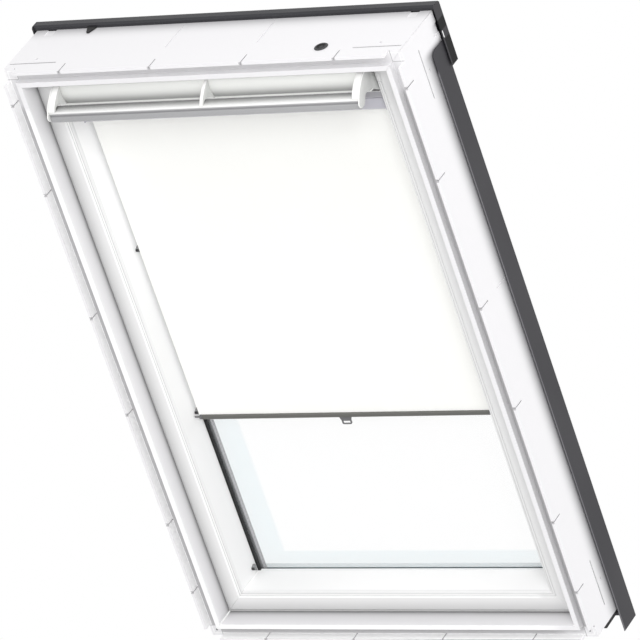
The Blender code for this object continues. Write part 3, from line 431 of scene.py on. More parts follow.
def corner_marks(graph):
    """The groove's corners: the square of floor left without painted shade, and the seam and nail hole on
    it.
    """
    _, depth, rise = graph.axes()
    from_side, from_end = insets(graph)
    farther = graph.most(from_side, from_end)
    down_to_floor = graph.below(depth, at(GROOVE_FLOOR + 0.0008), CRISP)
    square = graph.times(down_to_floor, graph.below(farther, CORNER_SQUARE))
    floor = graph.times(down_to_floor, graph.above(depth, at(GROOVE_FLOOR - 0.0010), CRISP))
    seam = graph.times(graph.between(farther, CORNER_SQUARE - 0.0002, CORNER_SQUARE + 0.0012, CRISP), floor,
                       graph.below(inset(graph), GROOVE_END - 0.0002, CRISP), SEAM_DARK)
    away = graph.distance(graph.minus(from_side, CORNER_HOLE), graph.minus(from_end, CORNER_HOLE))
    hole = graph.times(graph.spread(away, 0.0024, 0.0019), graph.spread(rise, 0.3, 0.2), floor, HOLE_DARK)
    return square, graph.most(seam, hole)


def sash_painted_shade(graph):
    """Painted shade on a sash member's room face: darker towards the gap, in its two lines and on the left.
    """
    across, depth, _ = graph.axes()
    inward = graph.minus(inset(graph), SASH_EDGE)
    towards_gap = graph.spread(inward, 0.0, STILE_FACE + 0.002, 0.25, 0.05)
    lines = [graph.between(inward, start, start + QUIRK_LINE) for start in (QUIRK, QUIRK + SECOND_LINE)]
    darkening = graph.plus(towards_gap, graph.times(graph.most(*lines), QUIRK_DARK))
    on_face = graph.below(depth, at(SASH_FRONT + 0.0055), SOFTER)
    return graph.times(darkening, on_face, graph.spread(across, 0.32, 0.36, 1.0, 0.25))


def mark_frame(graph, colours):
    """Lay the frame's marks over its colour: painted shade by the covers, painted highlights, then painted
    shade in its hollows, and its seams and nail holes.
    """
    _, depth, _ = graph.axes()
    inward = inset(graph)
    colours = graph.mix(cover_painted_shade(graph), colours, COVER_SHADE_GREY)
    # Painted highlights on the lip's inner wall, on the strip of the left jamb and sill, and along the
    # lower mitres
    lip_wall = graph.times(graph.between(inward, LIP_THICK - 0.0004, LIP_THICK + 0.0008, CRISP),
                           graph.above(depth, at(0.0015), SOFTER))
    strip = graph.times(graph.between(inward, GROOVE_END + 0.0006, STRIP_END + 0.0002),
                        on_right(graph, 0.0), on_head(graph, 0.0))
    joint = graph.times(mitre(graph, FRAME_MITRE_HALF), graph.above(inward, STRIP_END + 0.0001, HARD))
    colours = graph.mix(graph.most(lip_wall, strip, joint), colours, PAINTED_LIGHT_WHITE)
    unshaded_square, corner_lines = corner_marks(graph)
    # Painted shade is left off the mitres and the corner squares
    shade_share = graph.spread(graph.most(joint, unshaded_square), 0.0, 1.0, 1.0, 0.0)
    darkening = graph.most(graph.times(frame_painted_shade(graph), shade_share), graph.times(slot_shade(graph), SLOT_DARK),
                      kerf_shade(graph), corner_lines)
    return graph.mix(darkening, colours, SHADE_AND_SEAM_DARK)


def mark_sash(graph, colours):
    """Lay the sash's marks over its colour: painted highlights in its reveal, painted shade on its nose,
    painted highlights on its beads, and painted shade on its face.
    """
    across, depth, rise = graph.axes()
    # Painted light on the reveal's foot and left side, and a painted highlight along the lower mitres
    in_reveal = graph.above(depth, at(SASH_REVEAL), BLURRED)
    foot = graph.times(in_reveal, graph.spread(rise, 0.100, 0.090),
                       graph.spread(across, -0.28, 0.0, 0.1, 0.7))
    left = graph.times(in_reveal, graph.spread(across, -0.29, -0.30), graph.spread(rise, 0.6, 0.9))
    joint = graph.times(in_reveal, mitre(graph, SASH_MITRE_HALF))
    colours = graph.mix(graph.most(foot, left, joint), colours, PAINTED_LIGHT_WHITE)
    # Painted shade on the nose under the flap
    nose = graph.times(graph.between(rise, SASH_NOSE_LOW, SASH_NOSE_HIGH, SOFTER),
                       graph.above(depth, at(0.047), BLURRED),
                       graph.below(graph.size(across), SASH_NOSE_HALF, BLURRED))
    colours = graph.mix(nose, colours, NOSE_SHADE_GREY)
    inward = graph.minus(inset(graph), SASH_EDGE)
    # Painted highlights on the chamfer and the bead
    chamfer = graph.between(inward, QUIRK - 0.0030, QUIRK - 0.0002, CRISP)
    bead = graph.between(inward, QUIRK + 0.0013, QUIRK + 0.0041)
    moulding_highlight = graph.times(graph.most(chamfer, bead), graph.spread(across, 0.28, 0.30, 1.0, 0.0))
    colours = graph.mix(moulding_highlight, colours, PAINTED_LIGHT_WHITE)
    return graph.mix(sash_painted_shade(graph), colours, SHADE_AND_SEAM_DARK)


# Materials


def drawn_lines(graph, stretch, low, high, strength=0.35):
    """Fine lines along one axis, which also move the roughness between two values."""
    lines = graph.noise(60.0, 4.0, graph.stretched(stretch), 0.65)
    graph.set("Roughness", graph.spread(lines, 0.3, 0.7, low, high))
    graph.set("Normal", graph.bump(lines, 0.00002, strength))
    return lines


def spark_grain(graph, low, high, height=0.00005, strength=0.4):
    """Fine spark-eroded grain, which also moves the roughness between two values."""
    grain = graph.noise(700.0, 3.0)
    graph.set("Roughness", graph.spread(grain, 0.3, 0.7, low, high))
    graph.set("Normal", graph.bump(grain, height, strength))


def lacquer(name, colour, mark):
    """Sprayed lacquer: fine orange peel and slightly uneven gloss and shade, under a member's marks,
    painted shade and painted highlights.
    """
    graph = Graph(name, colour, 0.34, Specular_IOR_Level=0.45)
    graph.set("Roughness", graph.spread(graph.noise(7.0, 3.0), 0.3, 0.7, 0.30, 0.40))
    graph.set("Normal", graph.bump(graph.noise(900.0, 3.0), 0.00004, 0.5))
    patches = graph.spread(graph.noise(2.6), 0.35, 0.75, 0.0, 0.035)
    graph.set("Base Color", mark(graph, graph.mix(patches, colour, scaled(colour, 0.93))))
    return graph.material


def powder_coat(name, colour, roughness, room_side_light=None, rim=None):
    """Powder coated sheet, speckled and softly pebbled; its front rim may take a painted highlight, and its
    room side may be painted near-white as painted light.
    """
    graph = Graph(name, colour, roughness, Metallic=0.15, Specular_IOR_Level=0.4)
    _, depth, rise = graph.axes()
    speck = graph.spread(graph.noise(2600.0, 1.0), 0.62, 0.72, 0.0, 0.22)
    colours = graph.mix(speck, colour, tuple(min(1.0, 1.5 * part + 0.01) for part in colour))
    if rim:
        # Painted highlight along the front rim
        edge = graph.between(depth, at(COVER_EDGE - 0.0010), at(COVER_EDGE + 0.0026))
        colours = graph.mix(graph.times(edge, graph.below(rise, 1.085, 0.005)), colours, rim)
    if room_side_light:
        # Painted light: the room side is painted near-white
        room_side = graph.times(graph.below(depth, at(0.134), SOFTER), graph.above(rise, 0.0728, CRISP))
        colours = graph.mix(room_side, colours, room_side_light)
    graph.set("Base Color", colours)
    graph.set("Roughness", graph.spread(graph.noise(5.0), 0.3, 0.7, roughness - 0.04, roughness + 0.05))
    graph.set("Normal", graph.bump(graph.noise(1400.0), 0.00006, 0.5))
    return graph.material


def rubber(name, colour, foot=None):
    """Extruded rubber with a faint pale bloom; on the glazing its foot is painted near-white as a painted
    highlight.
    """
    graph = Graph(name, colour, 0.62, Specular_IOR_Level=0.35)
    bloom = graph.spread(graph.noise(30.0, 4.0), 0.45, 0.8, 0.0, 0.5)
    colours = graph.mix(bloom, colour, tuple(part + 0.02 for part in colour))
    if foot:
        across, depth, rise = graph.axes()
        # Painted highlight: the gasket's foot towards the room is painted near-white
        painted_light_foot = graph.times(graph.below(rise, 0.0902, CRISP),
                                 graph.below(graph.size(across), 0.296, BLURRED),
                                 graph.below(depth, at(0.0959), 0.0007))
        colours = graph.mix(painted_light_foot, colours, foot)
    graph.set("Base Color", colours)
    graph.set("Normal", graph.bump(graph.noise(1800.0), 0.00005, 0.6))
    return graph.material


def grommet_rubber(name, rim, well, plug):
    """Moulded grommet: a scuffed rim, a black well and a greyer plug in its middle."""
    graph = Graph(name, rim, 0.55, Specular_IOR_Level=0.3)
    low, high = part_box("cable_grommet")
    across, depth, _ = graph.axes()
    radius = (high.x - low.x) / 2
    centre = (low + high) / 2
    away = graph.distance(graph.minus(across, centre.x), graph.minus(depth, centre.y))
    inside = graph.spread(away, 0.74 * radius, 0.66 * radius)
    middle = graph.spread(away, 0.30 * radius, 0.22 * radius)
    graph.set("Base Color", graph.mix(middle, graph.mix(inside, rim, well), plug))
    graph.set("Normal", graph.bump(graph.noise(1800.0), 0.00005, 0.6))
    return graph.material


def brushed(name, colour, roughness, stretch, metallic=1.0):
    """Metal with a fine grain along one axis."""
    graph = Graph(name, colour, roughness, Metallic=metallic)
    lines = drawn_lines(graph, stretch, roughness - 0.07, roughness + 0.07)
    darker = graph.spread(lines, 0.35, 0.75, 0.0, 0.6)
    graph.set("Base Color", graph.mix(darker, colour, scaled(colour, 0.86)))
    return graph.material


def end_cap(name, colour, panel, glint):
    """Glossy black cap: a grey panel between two black ones, and a painted white glint on its shoulder."""
    graph = Graph(name, colour, 0.22, Specular_IOR_Level=0.12)
    _, depth, rise = graph.axes()
    upper = graph.between(rise, 1.1400, 1.1600, 0.0015)
    lower = graph.times(graph.below(rise, 1.1235, 0.0015), graph.spread(depth, at(0.1425), at(0.1440)))
    grey_part = graph.minus(1.0, graph.most(upper, lower))
    # Painted glint on the cap's shoulder
    spot = graph.times(graph.between(depth, at(0.1425), at(0.1450)),
                       graph.between(rise, 1.1260, 1.1385, BLURRED))
    graph.set("Base Color", graph.mix(spot, graph.mix(grey_part, colour, panel), glint))
    spark_grain(graph, 0.18, 0.26, 0.00003, 0.3)
    return graph.material


def moulded(name, colour, roughness):
    """Moulded plastic with a fine grain and a faint cloudiness."""
    graph = Graph(name, colour, roughness, Specular_IOR_Level=0.42)
    cloud = graph.spread(graph.noise(9.0), 0.35, 0.7, 0.0, 0.4)
    graph.set("Base Color", graph.mix(cloud, colour, scaled(colour, 0.94)))
    spark_grain(graph, roughness - 0.05, roughness + 0.05)
    return graph.material


def flap_lacquer(name, colour):
    """White flap: painted shade deepening down its cove to a lighter lip, and painted shade under the lip.
    """
    graph = Graph(name, colour, 0.42, Specular_IOR_Level=0.42)
    _, _, rise = graph.axes()
    cove = graph.times(graph.power(graph.spread(rise, 1.1290, 1.1012), 1.6),
                       graph.spread(rise, 1.1005, 1.1012))
    under = graph.spread(rise, 1.0978, 1.0970)
    # Painted shade in the cove and under the lip
    darkening = graph.plus(graph.times(cove, 0.68), graph.times(under, 0.85), clamp=True)
    graph.set("Base Color", graph.mix(darkening, colour, tone(30, 30, 32)))
    spark_grain(graph, 0.38, 0.47)
    return graph.material


def bar_anodised(name, bright, grey_part):
    """Anodised channel: painted highlight on its nose and painted shade on its front, in its two drawn
    lines and where it runs under the flap.
    """
    graph = Graph(name, bright, 0.3, Specular_IOR_Level=0.5)
    _, depth, rise = graph.axes()
    front = graph.spread(rise, 1.1074, 1.1052)
    drawn = graph.times(graph.between(rise, 1.1004, 1.1036, 0.0006), 0.45)
    rear = graph.power(graph.spread(depth, at(-0.0190), at(0.0040)), 0.7)
    under_flap = graph.times(rear, graph.spread(rise, 1.1075, 1.1082), 0.85)
    colours = graph.mix(front, bright, grey_part)
    colours = graph.mix(drawn, colours, tone(90, 90, 92))
    graph.set("Base Color", graph.mix(under_flap, colours, tone(60, 60, 62)))
    drawn_lines(graph, (0.5, 40.0, 40.0), 0.24, 0.36)
    return graph.material


def float_glass(name, tint, edge_tint=None):
    """Clear glass; the outer pane takes a blue cast along its left side and foot."""
    graph = Graph(name, tint, 0.015, Alpha=0.04, IOR=1.5)
    graph.set("Roughness", graph.spread(graph.noise(14.0), 0.3, 0.8, 0.01, 0.03))
    if edge_tint:
        across, _, rise = graph.axes()
        beside = graph.below(graph.plus(across, DAYLIGHT_HALF), SIDE_CAST, 0.006)
        band = graph.most(beside, graph.below(rise, DAYLIGHT_LOW + FOOT_CAST, BLURRED))
        graph.set("Base Color", graph.mix(band, tint, edge_tint))
        graph.set("Alpha", graph.spread(band, 0.0, 1.0, 0.03, 0.075))
    return graph.material


def hook_plastic(name, colour, darker):
    """Grey moulding, dark at its point towards the room."""
    graph = Graph(name, colour, 0.42, Specular_IOR_Level=0.42)
    _, depth, _ = graph.axes()
    graph.set("Base Color", graph.mix(graph.below(depth, at(0.0796), 0.0004), colour, darker))
    graph.set("Normal", graph.bump(graph.noise(700.0, 3.0), 0.00005, 0.4))
    return graph.material


def woven(name, colour):
    """Close plain weave of a blackout cloth: warp and weft on the piece's own UV map."""
    graph = Graph(name, colour, 0.82, Sheen_Weight=0.25, Sheen_Roughness=0.5, Specular_IOR_Level=0.2)
    places = graph.node("ShaderNodeUVMap", {"uv_map": "cut"}).outputs[0]
    across, along, _ = graph.node("ShaderNodeSeparateXYZ", Vector=places).outputs
    threads = 2 * math.pi * THREADS_PER_METRE
    weave = graph.times(*(graph.math("SINE", graph.times(way, threads)) for way in (across, along)))
    slub_place = graph.node("ShaderNodeMapping", Vector=places, Scale=(900.0, 14.0, 1.0)).outputs[0]
    slub = graph.noise(1.0, 2.0, slub_place)
    graph.set("Normal", graph.bump(weave, 0.00005, 0.35, graph.bump(slub, 0.00004, 0.35)))
    faint = graph.spread(slub, 0.4, 0.8, 0.0, 0.12)
    graph.set("Base Color", graph.mix(faint, colour, scaled(colour, 0.95)))
    return graph.material


def spacer_metal(name, colour):
    """Roll-formed spacer: painted shade beside the gasket and along its rear edge, lighter along its
    middle.
    """
    graph = Graph(name, colour, 0.4, Metallic=0.2, Specular_IOR_Level=0.4)
    _, depth, _ = graph.axes()
    front = graph.spread(depth, at(0.1045), at(0.1100), 0.85, 0.0)
    rear = graph.spread(depth, at(0.1145), at(0.1160), 0.0, 0.55)
    graph.set("Base Color", graph.mix(graph.most(front, rear), colour, tone(44, 44, 47)))
    drawn_lines(graph, (40.0, 1.0, 0.5), 0.34, 0.46, 0.3)
    return graph.material


def open_foam(name, colour):
    """Open filter foam."""
    graph = Graph(name, colour, 0.95)
    cells = graph.node("ShaderNodeTexVoronoi", Vector=graph.place, Scale=600.0).outputs[0]
    graph.set("Normal", graph.bump(cells, 0.0004, 0.8))
    graph.set("Base Color", graph.mix(graph.spread(cells, 0.1, 0.6), scaled(colour, 0.5), colour))
    return graph.material


THREADS_PER_METRE = 1600
ALONG_WIDTH = (0.5, 40.0, 40.0)
BLACK_SHEET = tone(53, 52, 56)
BLACK_RUBBER = tone(30, 30, 31)
CLEAR = (0.99, 0.995, 1.0)
SKY_BLUE = (0.20, 0.66, 0.79)

FRAME_PAINT = lacquer("frame_lacquer", tone(239, 238, 240), mark_frame)
SASH_PAINT = lacquer("sash_lacquer", WHITE, mark_sash)
# Painted highlight along the covers' front rim
COVER_PAINT = powder_coat("cover_powder_coat", BLACK_SHEET, 0.5, rim=tone(108, 107, 111))
# Painted light on the room side of the glazing cover
GLAZING_COVER_PAINT = powder_coat("glazing_cover_powder_coat", BLACK_SHEET, 0.5, room_side_light=PAINTED_LIGHT_WHITE)
CASING_PAINT = powder_coat("casing_powder_coat", tone(46, 46, 50), 0.42)
# Painted white glint on the black end caps
GLOSS_BLACK = end_cap("black_end_cap", tone(14, 14, 15), tone(60, 59, 62), tone(245))
SEAL_RUBBER = rubber("seal_rubber", BLACK_RUBBER)
# Painted highlight along the glazing gasket's foot
GLAZING_RUBBER = rubber("glazing_rubber", BLACK_RUBBER, tone(245, 246, 247))
PALE_RUBBER = rubber("pale_rubber", tone(214))
GROMMET_RUBBER = grommet_rubber("grommet_rubber", tone(66, 67, 68), tone(16, 16, 17), tone(56, 57, 58))
GLASS = float_glass("float_glass", CLEAR)
EDGED_GLASS = float_glass("edged_glass", CLEAR, SKY_BLUE)
# Painted shade on the spacer beside the gasket and at its rear edge
SPACER = spacer_metal("spacer_bar", tone(186, 184, 187))
TUBE_METAL = brushed("tube_metal", tone(176, 178, 180), 0.35, (1.0, 1.0, 1.0), 0.8)
ZINC = brushed("zinc_plate", tone(190, 190, 188), 0.32, (1.0, 1.0, 8.0))
# Painted shade in the flap's cove and under its lip
FLAP_PAINT = flap_lacquer("flap_lacquer", tone(245, 246, 243))
# Painted highlight on the bar's nose and painted shade on its front
BAR_METAL = bar_anodised("bar_anodised", tone(240, 240, 239), tone(166, 166, 168))
BRACKET_PLASTIC = moulded("bracket_plastic", tone(250, 250, 248), 0.35)
# Painted shade: a darker copy for the brackets' sideways faces
BRACKET_SIDE_SHADED = moulded("bracket_side_shaded_plastic", tone(214, 215, 213), 0.4)
RAIL_PAINT = moulded("rail_lacquer", tone(196, 195, 203), 0.38)
BAR_GREY = brushed("bottom_bar_anodised", tone(104, 104, 100), 0.36, ALONG_WIDTH, 0.5)
GREY_PLASTIC = moulded("grey_plastic", tone(104, 104, 106), 0.42)
HOOK_PLASTIC = hook_plastic("hook_plastic", tone(138, 139, 140), tone(48, 48, 50))
SLOT_SHADE = moulded("slot_shade", tone(60, 60, 62), 0.6)
CLOTH = woven("blackout_cloth", tone(253, 253, 250))
FOAM = open_foam("filter_foam", tone(170, 172, 170))


# Dressing the solids


def placed(name, data):
    """A new object in the scene."""
    made = bpy.data.objects.new(name, data)
    bpy.context.scene.collection.objects.link(made)
    return made


def from_form(name, form):
    """A new object from a finished bmesh form."""
    mesh = bpy.data.meshes.new(name)
    form.to_mesh(mesh)
    form.free()
    return placed(name, mesh)


def merged_copy(node, name):
    """A welded copy of a solid, with its flat faces whole again."""
    mesh = NODES[node].data.copy()
    mesh.name = name
    form = bmesh.new()
    form.from_mesh(mesh)
    bmesh.ops.remove_doubles(form, verts=form.verts, dist=0.000002)
    bmesh.ops.dissolve_limit(form, angle_limit=0.002, verts=form.verts, edges=form.edges)
    form.to_mesh(mesh)
    form.free()
    return placed(name, mesh)


def bake_modifiers(piece):
    """Turn a piece and its modifiers into one plain mesh."""
    bpy.context.view_layer.update()
    graph = bpy.context.evaluated_depsgraph_get()
    mesh = bpy.data.meshes.new_from_object(piece.evaluated_get(graph))
    piece.modifiers.clear()
    piece.data = mesh
    mesh.name = piece.name
    return piece


def soften(piece, radius):
    """Round a piece's hard edges."""
    bevel = piece.modifiers.new("edges", "BEVEL")
    bevel.width = radius
    bevel.segments = EDGE_STEPS
    bevel.limit_method = "ANGLE"
    bevel.angle_limit = EDGE_ANGLE
    bevel.miter_outer = "MITER_ARC"
    bake_modifiers(piece)


def shade(piece, curved):
    """Smooth a curved piece all over, and any other only on the narrow strips of its rounded edges."""
    mesh = piece.data
    if curved:
        mesh.shade_smooth()
        mesh.set_sharp_from_angle(angle=CREASE_ANGLE)
        return
    for face in mesh.polygons:
        corners = [mesh.vertices[index].co for index in face.vertices]
        longest = max((first - second).length for first, second in zip(corners, corners[1:] + corners[:1]))
        face.use_smooth = face.area < longest * STRIP_LIMIT


def give(piece, *materials):
    """Put materials on a piece; a second one, a copy painted with shade, goes to the faces that look
    sideways.
    """
    piece.data.materials.clear()
    for material in materials:
        piece.data.materials.append(material)
    if len(materials) > 1:
        for face in piece.data.polygons:
            face.material_index = int(abs(face.normal.x) > 0.9)


def stand_in(piece, node, radius, *materials, curved=True):
    """Finish a piece that takes a solid's place: rounded edges, shading, materials and body; the solid is
    hidden.
    """
    soften(piece, radius)
    shade(piece, curved)
    give(piece, *materials)
    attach(piece, NODES[node]["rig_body"])
    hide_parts(node)


def dress(node, radius, material, curved=False):
    """Stand a rounded, finished copy in for a solid."""
    stand_in(merged_copy(node, node + "_dressed"), node, radius, material, curved=curved)


for node in ("frame_head", "frame_sill", "frame_jamb_left", "frame_jamb_right"):
    dress(node, EDGE_SOFT, FRAME_PAINT)
for node in ("sash_head", "sash_sill", "sash_stile_left", "sash_stile_right"):
    dress(node, EDGE_FINE, SASH_PAINT)
for node in ("side_cover_left", "side_cover_right", "bottom_cover"):
    dress(node, EDGE_FINE, COVER_PAINT)
for node in ("sash_cover_left", "sash_cover_right", "sash_cover_top"):
    dress(node, EDGE_FINE, COVER_PAINT)
dress("sash_cover_bottom", EDGE_FINE, GLAZING_COVER_PAINT)
dress("top_casing", EDGE_FINE, CASING_PAINT)
for node in ("casing_end_left", "casing_end_right"):
    dress(node, EDGE_FINE, GLOSS_BLACK)
dress("glazing_gasket", EDGE_SOFT, GLAZING_RUBBER)
dress("sill_rail", EDGE_SOFT, SEAL_RUBBER)
dress("frame_gasket", EDGE_SOFT, PALE_RUBBER)
dress("pane_inner", EDGE_SMALL, GLASS)
dress("pane_outer", EDGE_SMALL, EDGED_GLASS)
dress("glass_spacer", EDGE_SMALL, SPACER)
for side in ("left", "right"):
    dress("pivot_plate_" + side, EDGE_SMALL, ZINC)
    dress("pivot_arm_" + side, EDGE_SMALL, ZINC)
    dress("headrail_end_" + side, EDGE_ROUND, RAIL_PAINT)
    dress("bar_end_" + side, EDGE_FINE, GREY_PLASTIC, curved=True)
dress("striker_plate", EDGE_FINE, ZINC)
dress("lock_case", EDGE_ROUND, ZINC)
dress("cable_grommet", EDGE_FINE, GROMMET_RUBBER, curved=True)
dress("casing_lug", EDGE_SMALL, SEAL_RUBBER)
dress("air_filter", EDGE_SOFT, FOAM)
dress("blind_headrail", EDGE_FINE, RAIL_PAINT)
dress("roller_tube", EDGE_FINE, TUBE_METAL, curved=True)
dress("bottom_bar", EDGE_SMALL, BAR_GREY)
dress("pull_tab", EDGE_SOFT, GREY_PLASTIC)


# Ventilation flap, control bar and hooks; sections are lists of (depth, height)

# The flap's room face from its top edge down to its lower lip
FLAP_FACE = [(0.0190, 1.1380), (0.0182, 1.1290), (0.0185, 1.1210), (0.0200, 1.1120),
             (0.0222, 1.1050), (0.0247, 1.1010)]
FLAP_LIP_LOW = 1.0975
FLAP_LIP_THICK = 0.0040
FLAP_TOP_BACK = (0.0360, 1.1380)
FLAP_REACH = 0.3045
BEAD_RADIUS = 0.003
BRACKET_INNER = 0.2925
BRACKET_OUTER = 0.3045
END_PLATE_INNER = 0.3048
END_PLATE_OUTER = 0.3072
MIDDLE_BRACKET_HALF = 0.0030
BAR_FRONT = -0.0200
BAR_TOP = 1.1088
BAR_REAR = 0.0040
BAR_FOOT = 1.0895
BAR_WALL = 0.0018
BAR_NOSE_RADIUS = 0.0028
BAR_FOOT_RADIUS = 0.002
BRACKET_GAP = 0.0003
LINE_STEPS = 4

# Breather slots in the glazing's spacer
BREATHER_STEP = 0.008
BREATHER_ROWS = 0.0050
BREATHER_LONG = 0.0030
BREATHER_WIDE = 0.0008
BREATHER_PROUD = 0.0002


def extruded(name, outline, low, high):
    """A section drawn in depth and height, carried across from low to high."""
    form = bmesh.new()
    ends = [[form.verts.new((across, at(depth), height)) for depth, height in outline]
            for across in (low, high)]
    count = len(outline)
    form.faces.new(ends[0])
    form.faces.new(list(reversed(ends[1])))
    for index in range(count):
        follow = (index + 1) % count
        form.faces.new((ends[0][index], ends[1][index], ends[1][follow], ends[0][follow]))
    bmesh.ops.recalc_face_normals(form, faces=form.faces)
    return from_form(name, form)


def rounded(corners):
    """A smooth line through the corners."""
    line = []
    for index in range(len(corners) - 1):
        before = Vector(corners[max(index - 1, 0)])
        start = Vector(corners[index])
        end = Vector(corners[index + 1])
        after = Vector(corners[min(index + 2, len(corners) - 1)])
        for step in range(LINE_STEPS):
            share = step / LINE_STEPS
            line.append(tuple(0.5 * (2 * start + (end - before) * share
                                     + (2 * before - 5 * start + 4 * end - after) * share ** 2
                                     + (3 * start - before - 3 * end + after) * share ** 3)))
    return line + [tuple(corners[-1])]


def arc(depth, height, radius, start, sweep, steps=8):
    """Points along a part of a circle about a middle."""
    angles = [start + sweep * step / steps for step in range(steps + 1)]
    return [(depth + radius * math.cos(angle), height + radius * math.sin(angle)) for angle in angles]


def make_flap():
    """Hollow-backed flap: a coved room face with a lip at its foot, and the bead that it turns on."""
    low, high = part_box("vent_flap")
    bead_depth = low.y - LIP_PLANE + BEAD_RADIUS
    bead_height = low.z + BEAD_RADIUS
    back = bead_depth + 0.0035
    under_top = high.z - 0.001
    lip_depth = FLAP_FACE[-1][0]
    outline = rounded(FLAP_FACE) + [(lip_depth, FLAP_LIP_LOW), (lip_depth + FLAP_LIP_THICK, FLAP_LIP_LOW)]
    outline += arc(bead_depth, bead_height, BEAD_RADIUS, -math.pi, math.pi)
    outline += [(back, bead_height + 0.010), (back + 0.002, high.z - 0.012), (back, under_top),
                (FLAP_TOP_BACK[0] + 0.0020, under_top), (FLAP_TOP_BACK[0], high.z), FLAP_TOP_BACK]
    flap = extruded("vent_flap_moulded", outline, -FLAP_REACH, FLAP_REACH)
    stand_in(flap, "vent_flap", EDGE_SMALL, FLAP_PAINT)


def make_bar():
    """Open channel: flat top running back under the flap, round nose, upright front, turned-in foot."""
    nose = BAR_NOSE_RADIUS
    foot = BAR_FOOT_RADIUS
    drawn = BAR_FRONT + 0.0008
    inner = BAR_FRONT + 0.0032
    turned_in = BAR_FRONT + 0.011
    outline = [(BAR_REAR, BAR_TOP - BAR_WALL), (BAR_REAR, BAR_TOP)]
    outline += arc(BAR_FRONT + nose, BAR_TOP - nose, nose, math.pi / 2, math.pi / 2)
    outline += [(BAR_FRONT, 1.1036), (drawn, 1.1032), (drawn, 1.1008), (BAR_FRONT, 1.1004)]
    outline += arc(BAR_FRONT + foot, BAR_FOOT + foot, foot, math.pi, math.pi / 2, 4)
    outline += [(turned_in, BAR_FOOT), (turned_in, BAR_FOOT + BAR_WALL), (inner, BAR_FOOT + BAR_WALL),
                (inner, BAR_TOP - 0.0045), (BAR_FRONT + 0.0050, BAR_TOP - BAR_WALL)]
    reach = END_PLATE_INNER - BRACKET_GAP
    bar = extruded("control_bar_channel", outline, -reach, reach)
    stand_in(bar, "control_bar", EDGE_THIN, BAR_METAL)


def joined(name, parts):
    """Several closed forms as one piece."""
    form = bmesh.new()
    for part in parts:
        form.from_mesh(part.data)
        bpy.data.objects.remove(part)
    return from_form(name, form)


def make_brackets():
    """Fins that stand on the bar, a thin one in the middle, and plates that close the ends."""
    seat = [(depth - BRACKET_GAP, height) for depth, height in reversed(rounded(FLAP_FACE))]
    on_bar = BAR_TOP + BRACKET_GAP
    front = rounded([(0.0170, 1.1378), (0.0105, 1.1352), (0.0020, 1.1305), (-0.0060, 1.1250),
                     (-0.0140, 1.1180), (-0.0195, 1.1115)])
    foot = [(-0.0198, on_bar), (-0.0160, on_bar)]
    arch = rounded([(-0.0160, on_bar), (-0.0090, 1.1136), (0.0010, 1.1132), (0.0110, 1.1085),
                    (0.0200, 1.1008)])[1:]
    fin = seat + front + foot + arch
    plate = [(0.0540, 1.1298), (0.0365, 1.1305), (0.0365, 1.1378), (0.0190, 1.1378)] + front[1:]
    plate += rounded([(-0.0215, 1.1080), (-0.0252, 1.1030), (-0.0249, 1.0970), (-0.0200, 1.0925),
                      (-0.0110, 1.0930), (-0.0040, 1.0985), (0.0010, 1.1050), (0.0100, 1.1062),
                      (0.0257, 1.1030)])
    plate += [(0.0400, 1.0925), (0.0540, 1.0835)]
    root = [(0.0080, 1.1200), (0.0080, 1.1280), (-0.0020, 1.1240), (-0.0020, 1.1180)]
    sections = (("fin", fin, BRACKET_INNER, BRACKET_OUTER),
                ("plate", plate, END_PLATE_INNER, END_PLATE_OUTER),
                ("root", root, BRACKET_OUTER - 0.0010, END_PLATE_INNER + 0.0010))
    for side, sign in (("left", -1), ("right", 1)):
        parts = [extruded(name, outline, *sorted((sign * inner, sign * outer)))
                 for name, outline, inner, outer in sections]
        piece = joined("bar_bracket_%s_fin" % side, parts)
        stand_in(piece, "bar_bracket_" + side, EDGE_SOFT, BRACKET_PLASTIC, BRACKET_SIDE_SHADED)
    middle = extruded("bar_bracket_middle_fin", fin, -MIDDLE_BRACKET_HALF, MIDDLE_BRACKET_HALF)
    stand_in(middle, "bar_bracket_middle", EDGE_SOFT, BRACKET_PLASTIC, BRACKET_SIDE_SHADED)


def make_hook(node):
    """Hook plate: a tall base on the stile side and a dark point towards the room, open in the middle."""
    low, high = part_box(node)
    near = low.y - LIP_PLANE
    far = high.y - LIP_PLANE
    foot = low.z
    top = high.z
    outline = [(far - 0.0014, top), (far, top - 0.0008), (far, foot), (far - 0.0018, foot + 0.0002),
               (far - 0.0020, top - 0.0048), (near + 0.0026, foot + 0.0068), (near + 0.0012, foot + 0.0046),
               (near, foot + 0.0056), (near, foot + 0.0088)]
    hook = extruded(node + "_moulded", outline, low.x, high.x)
    stand_in(hook, node, EDGE_FINE, HOOK_PLASTIC)


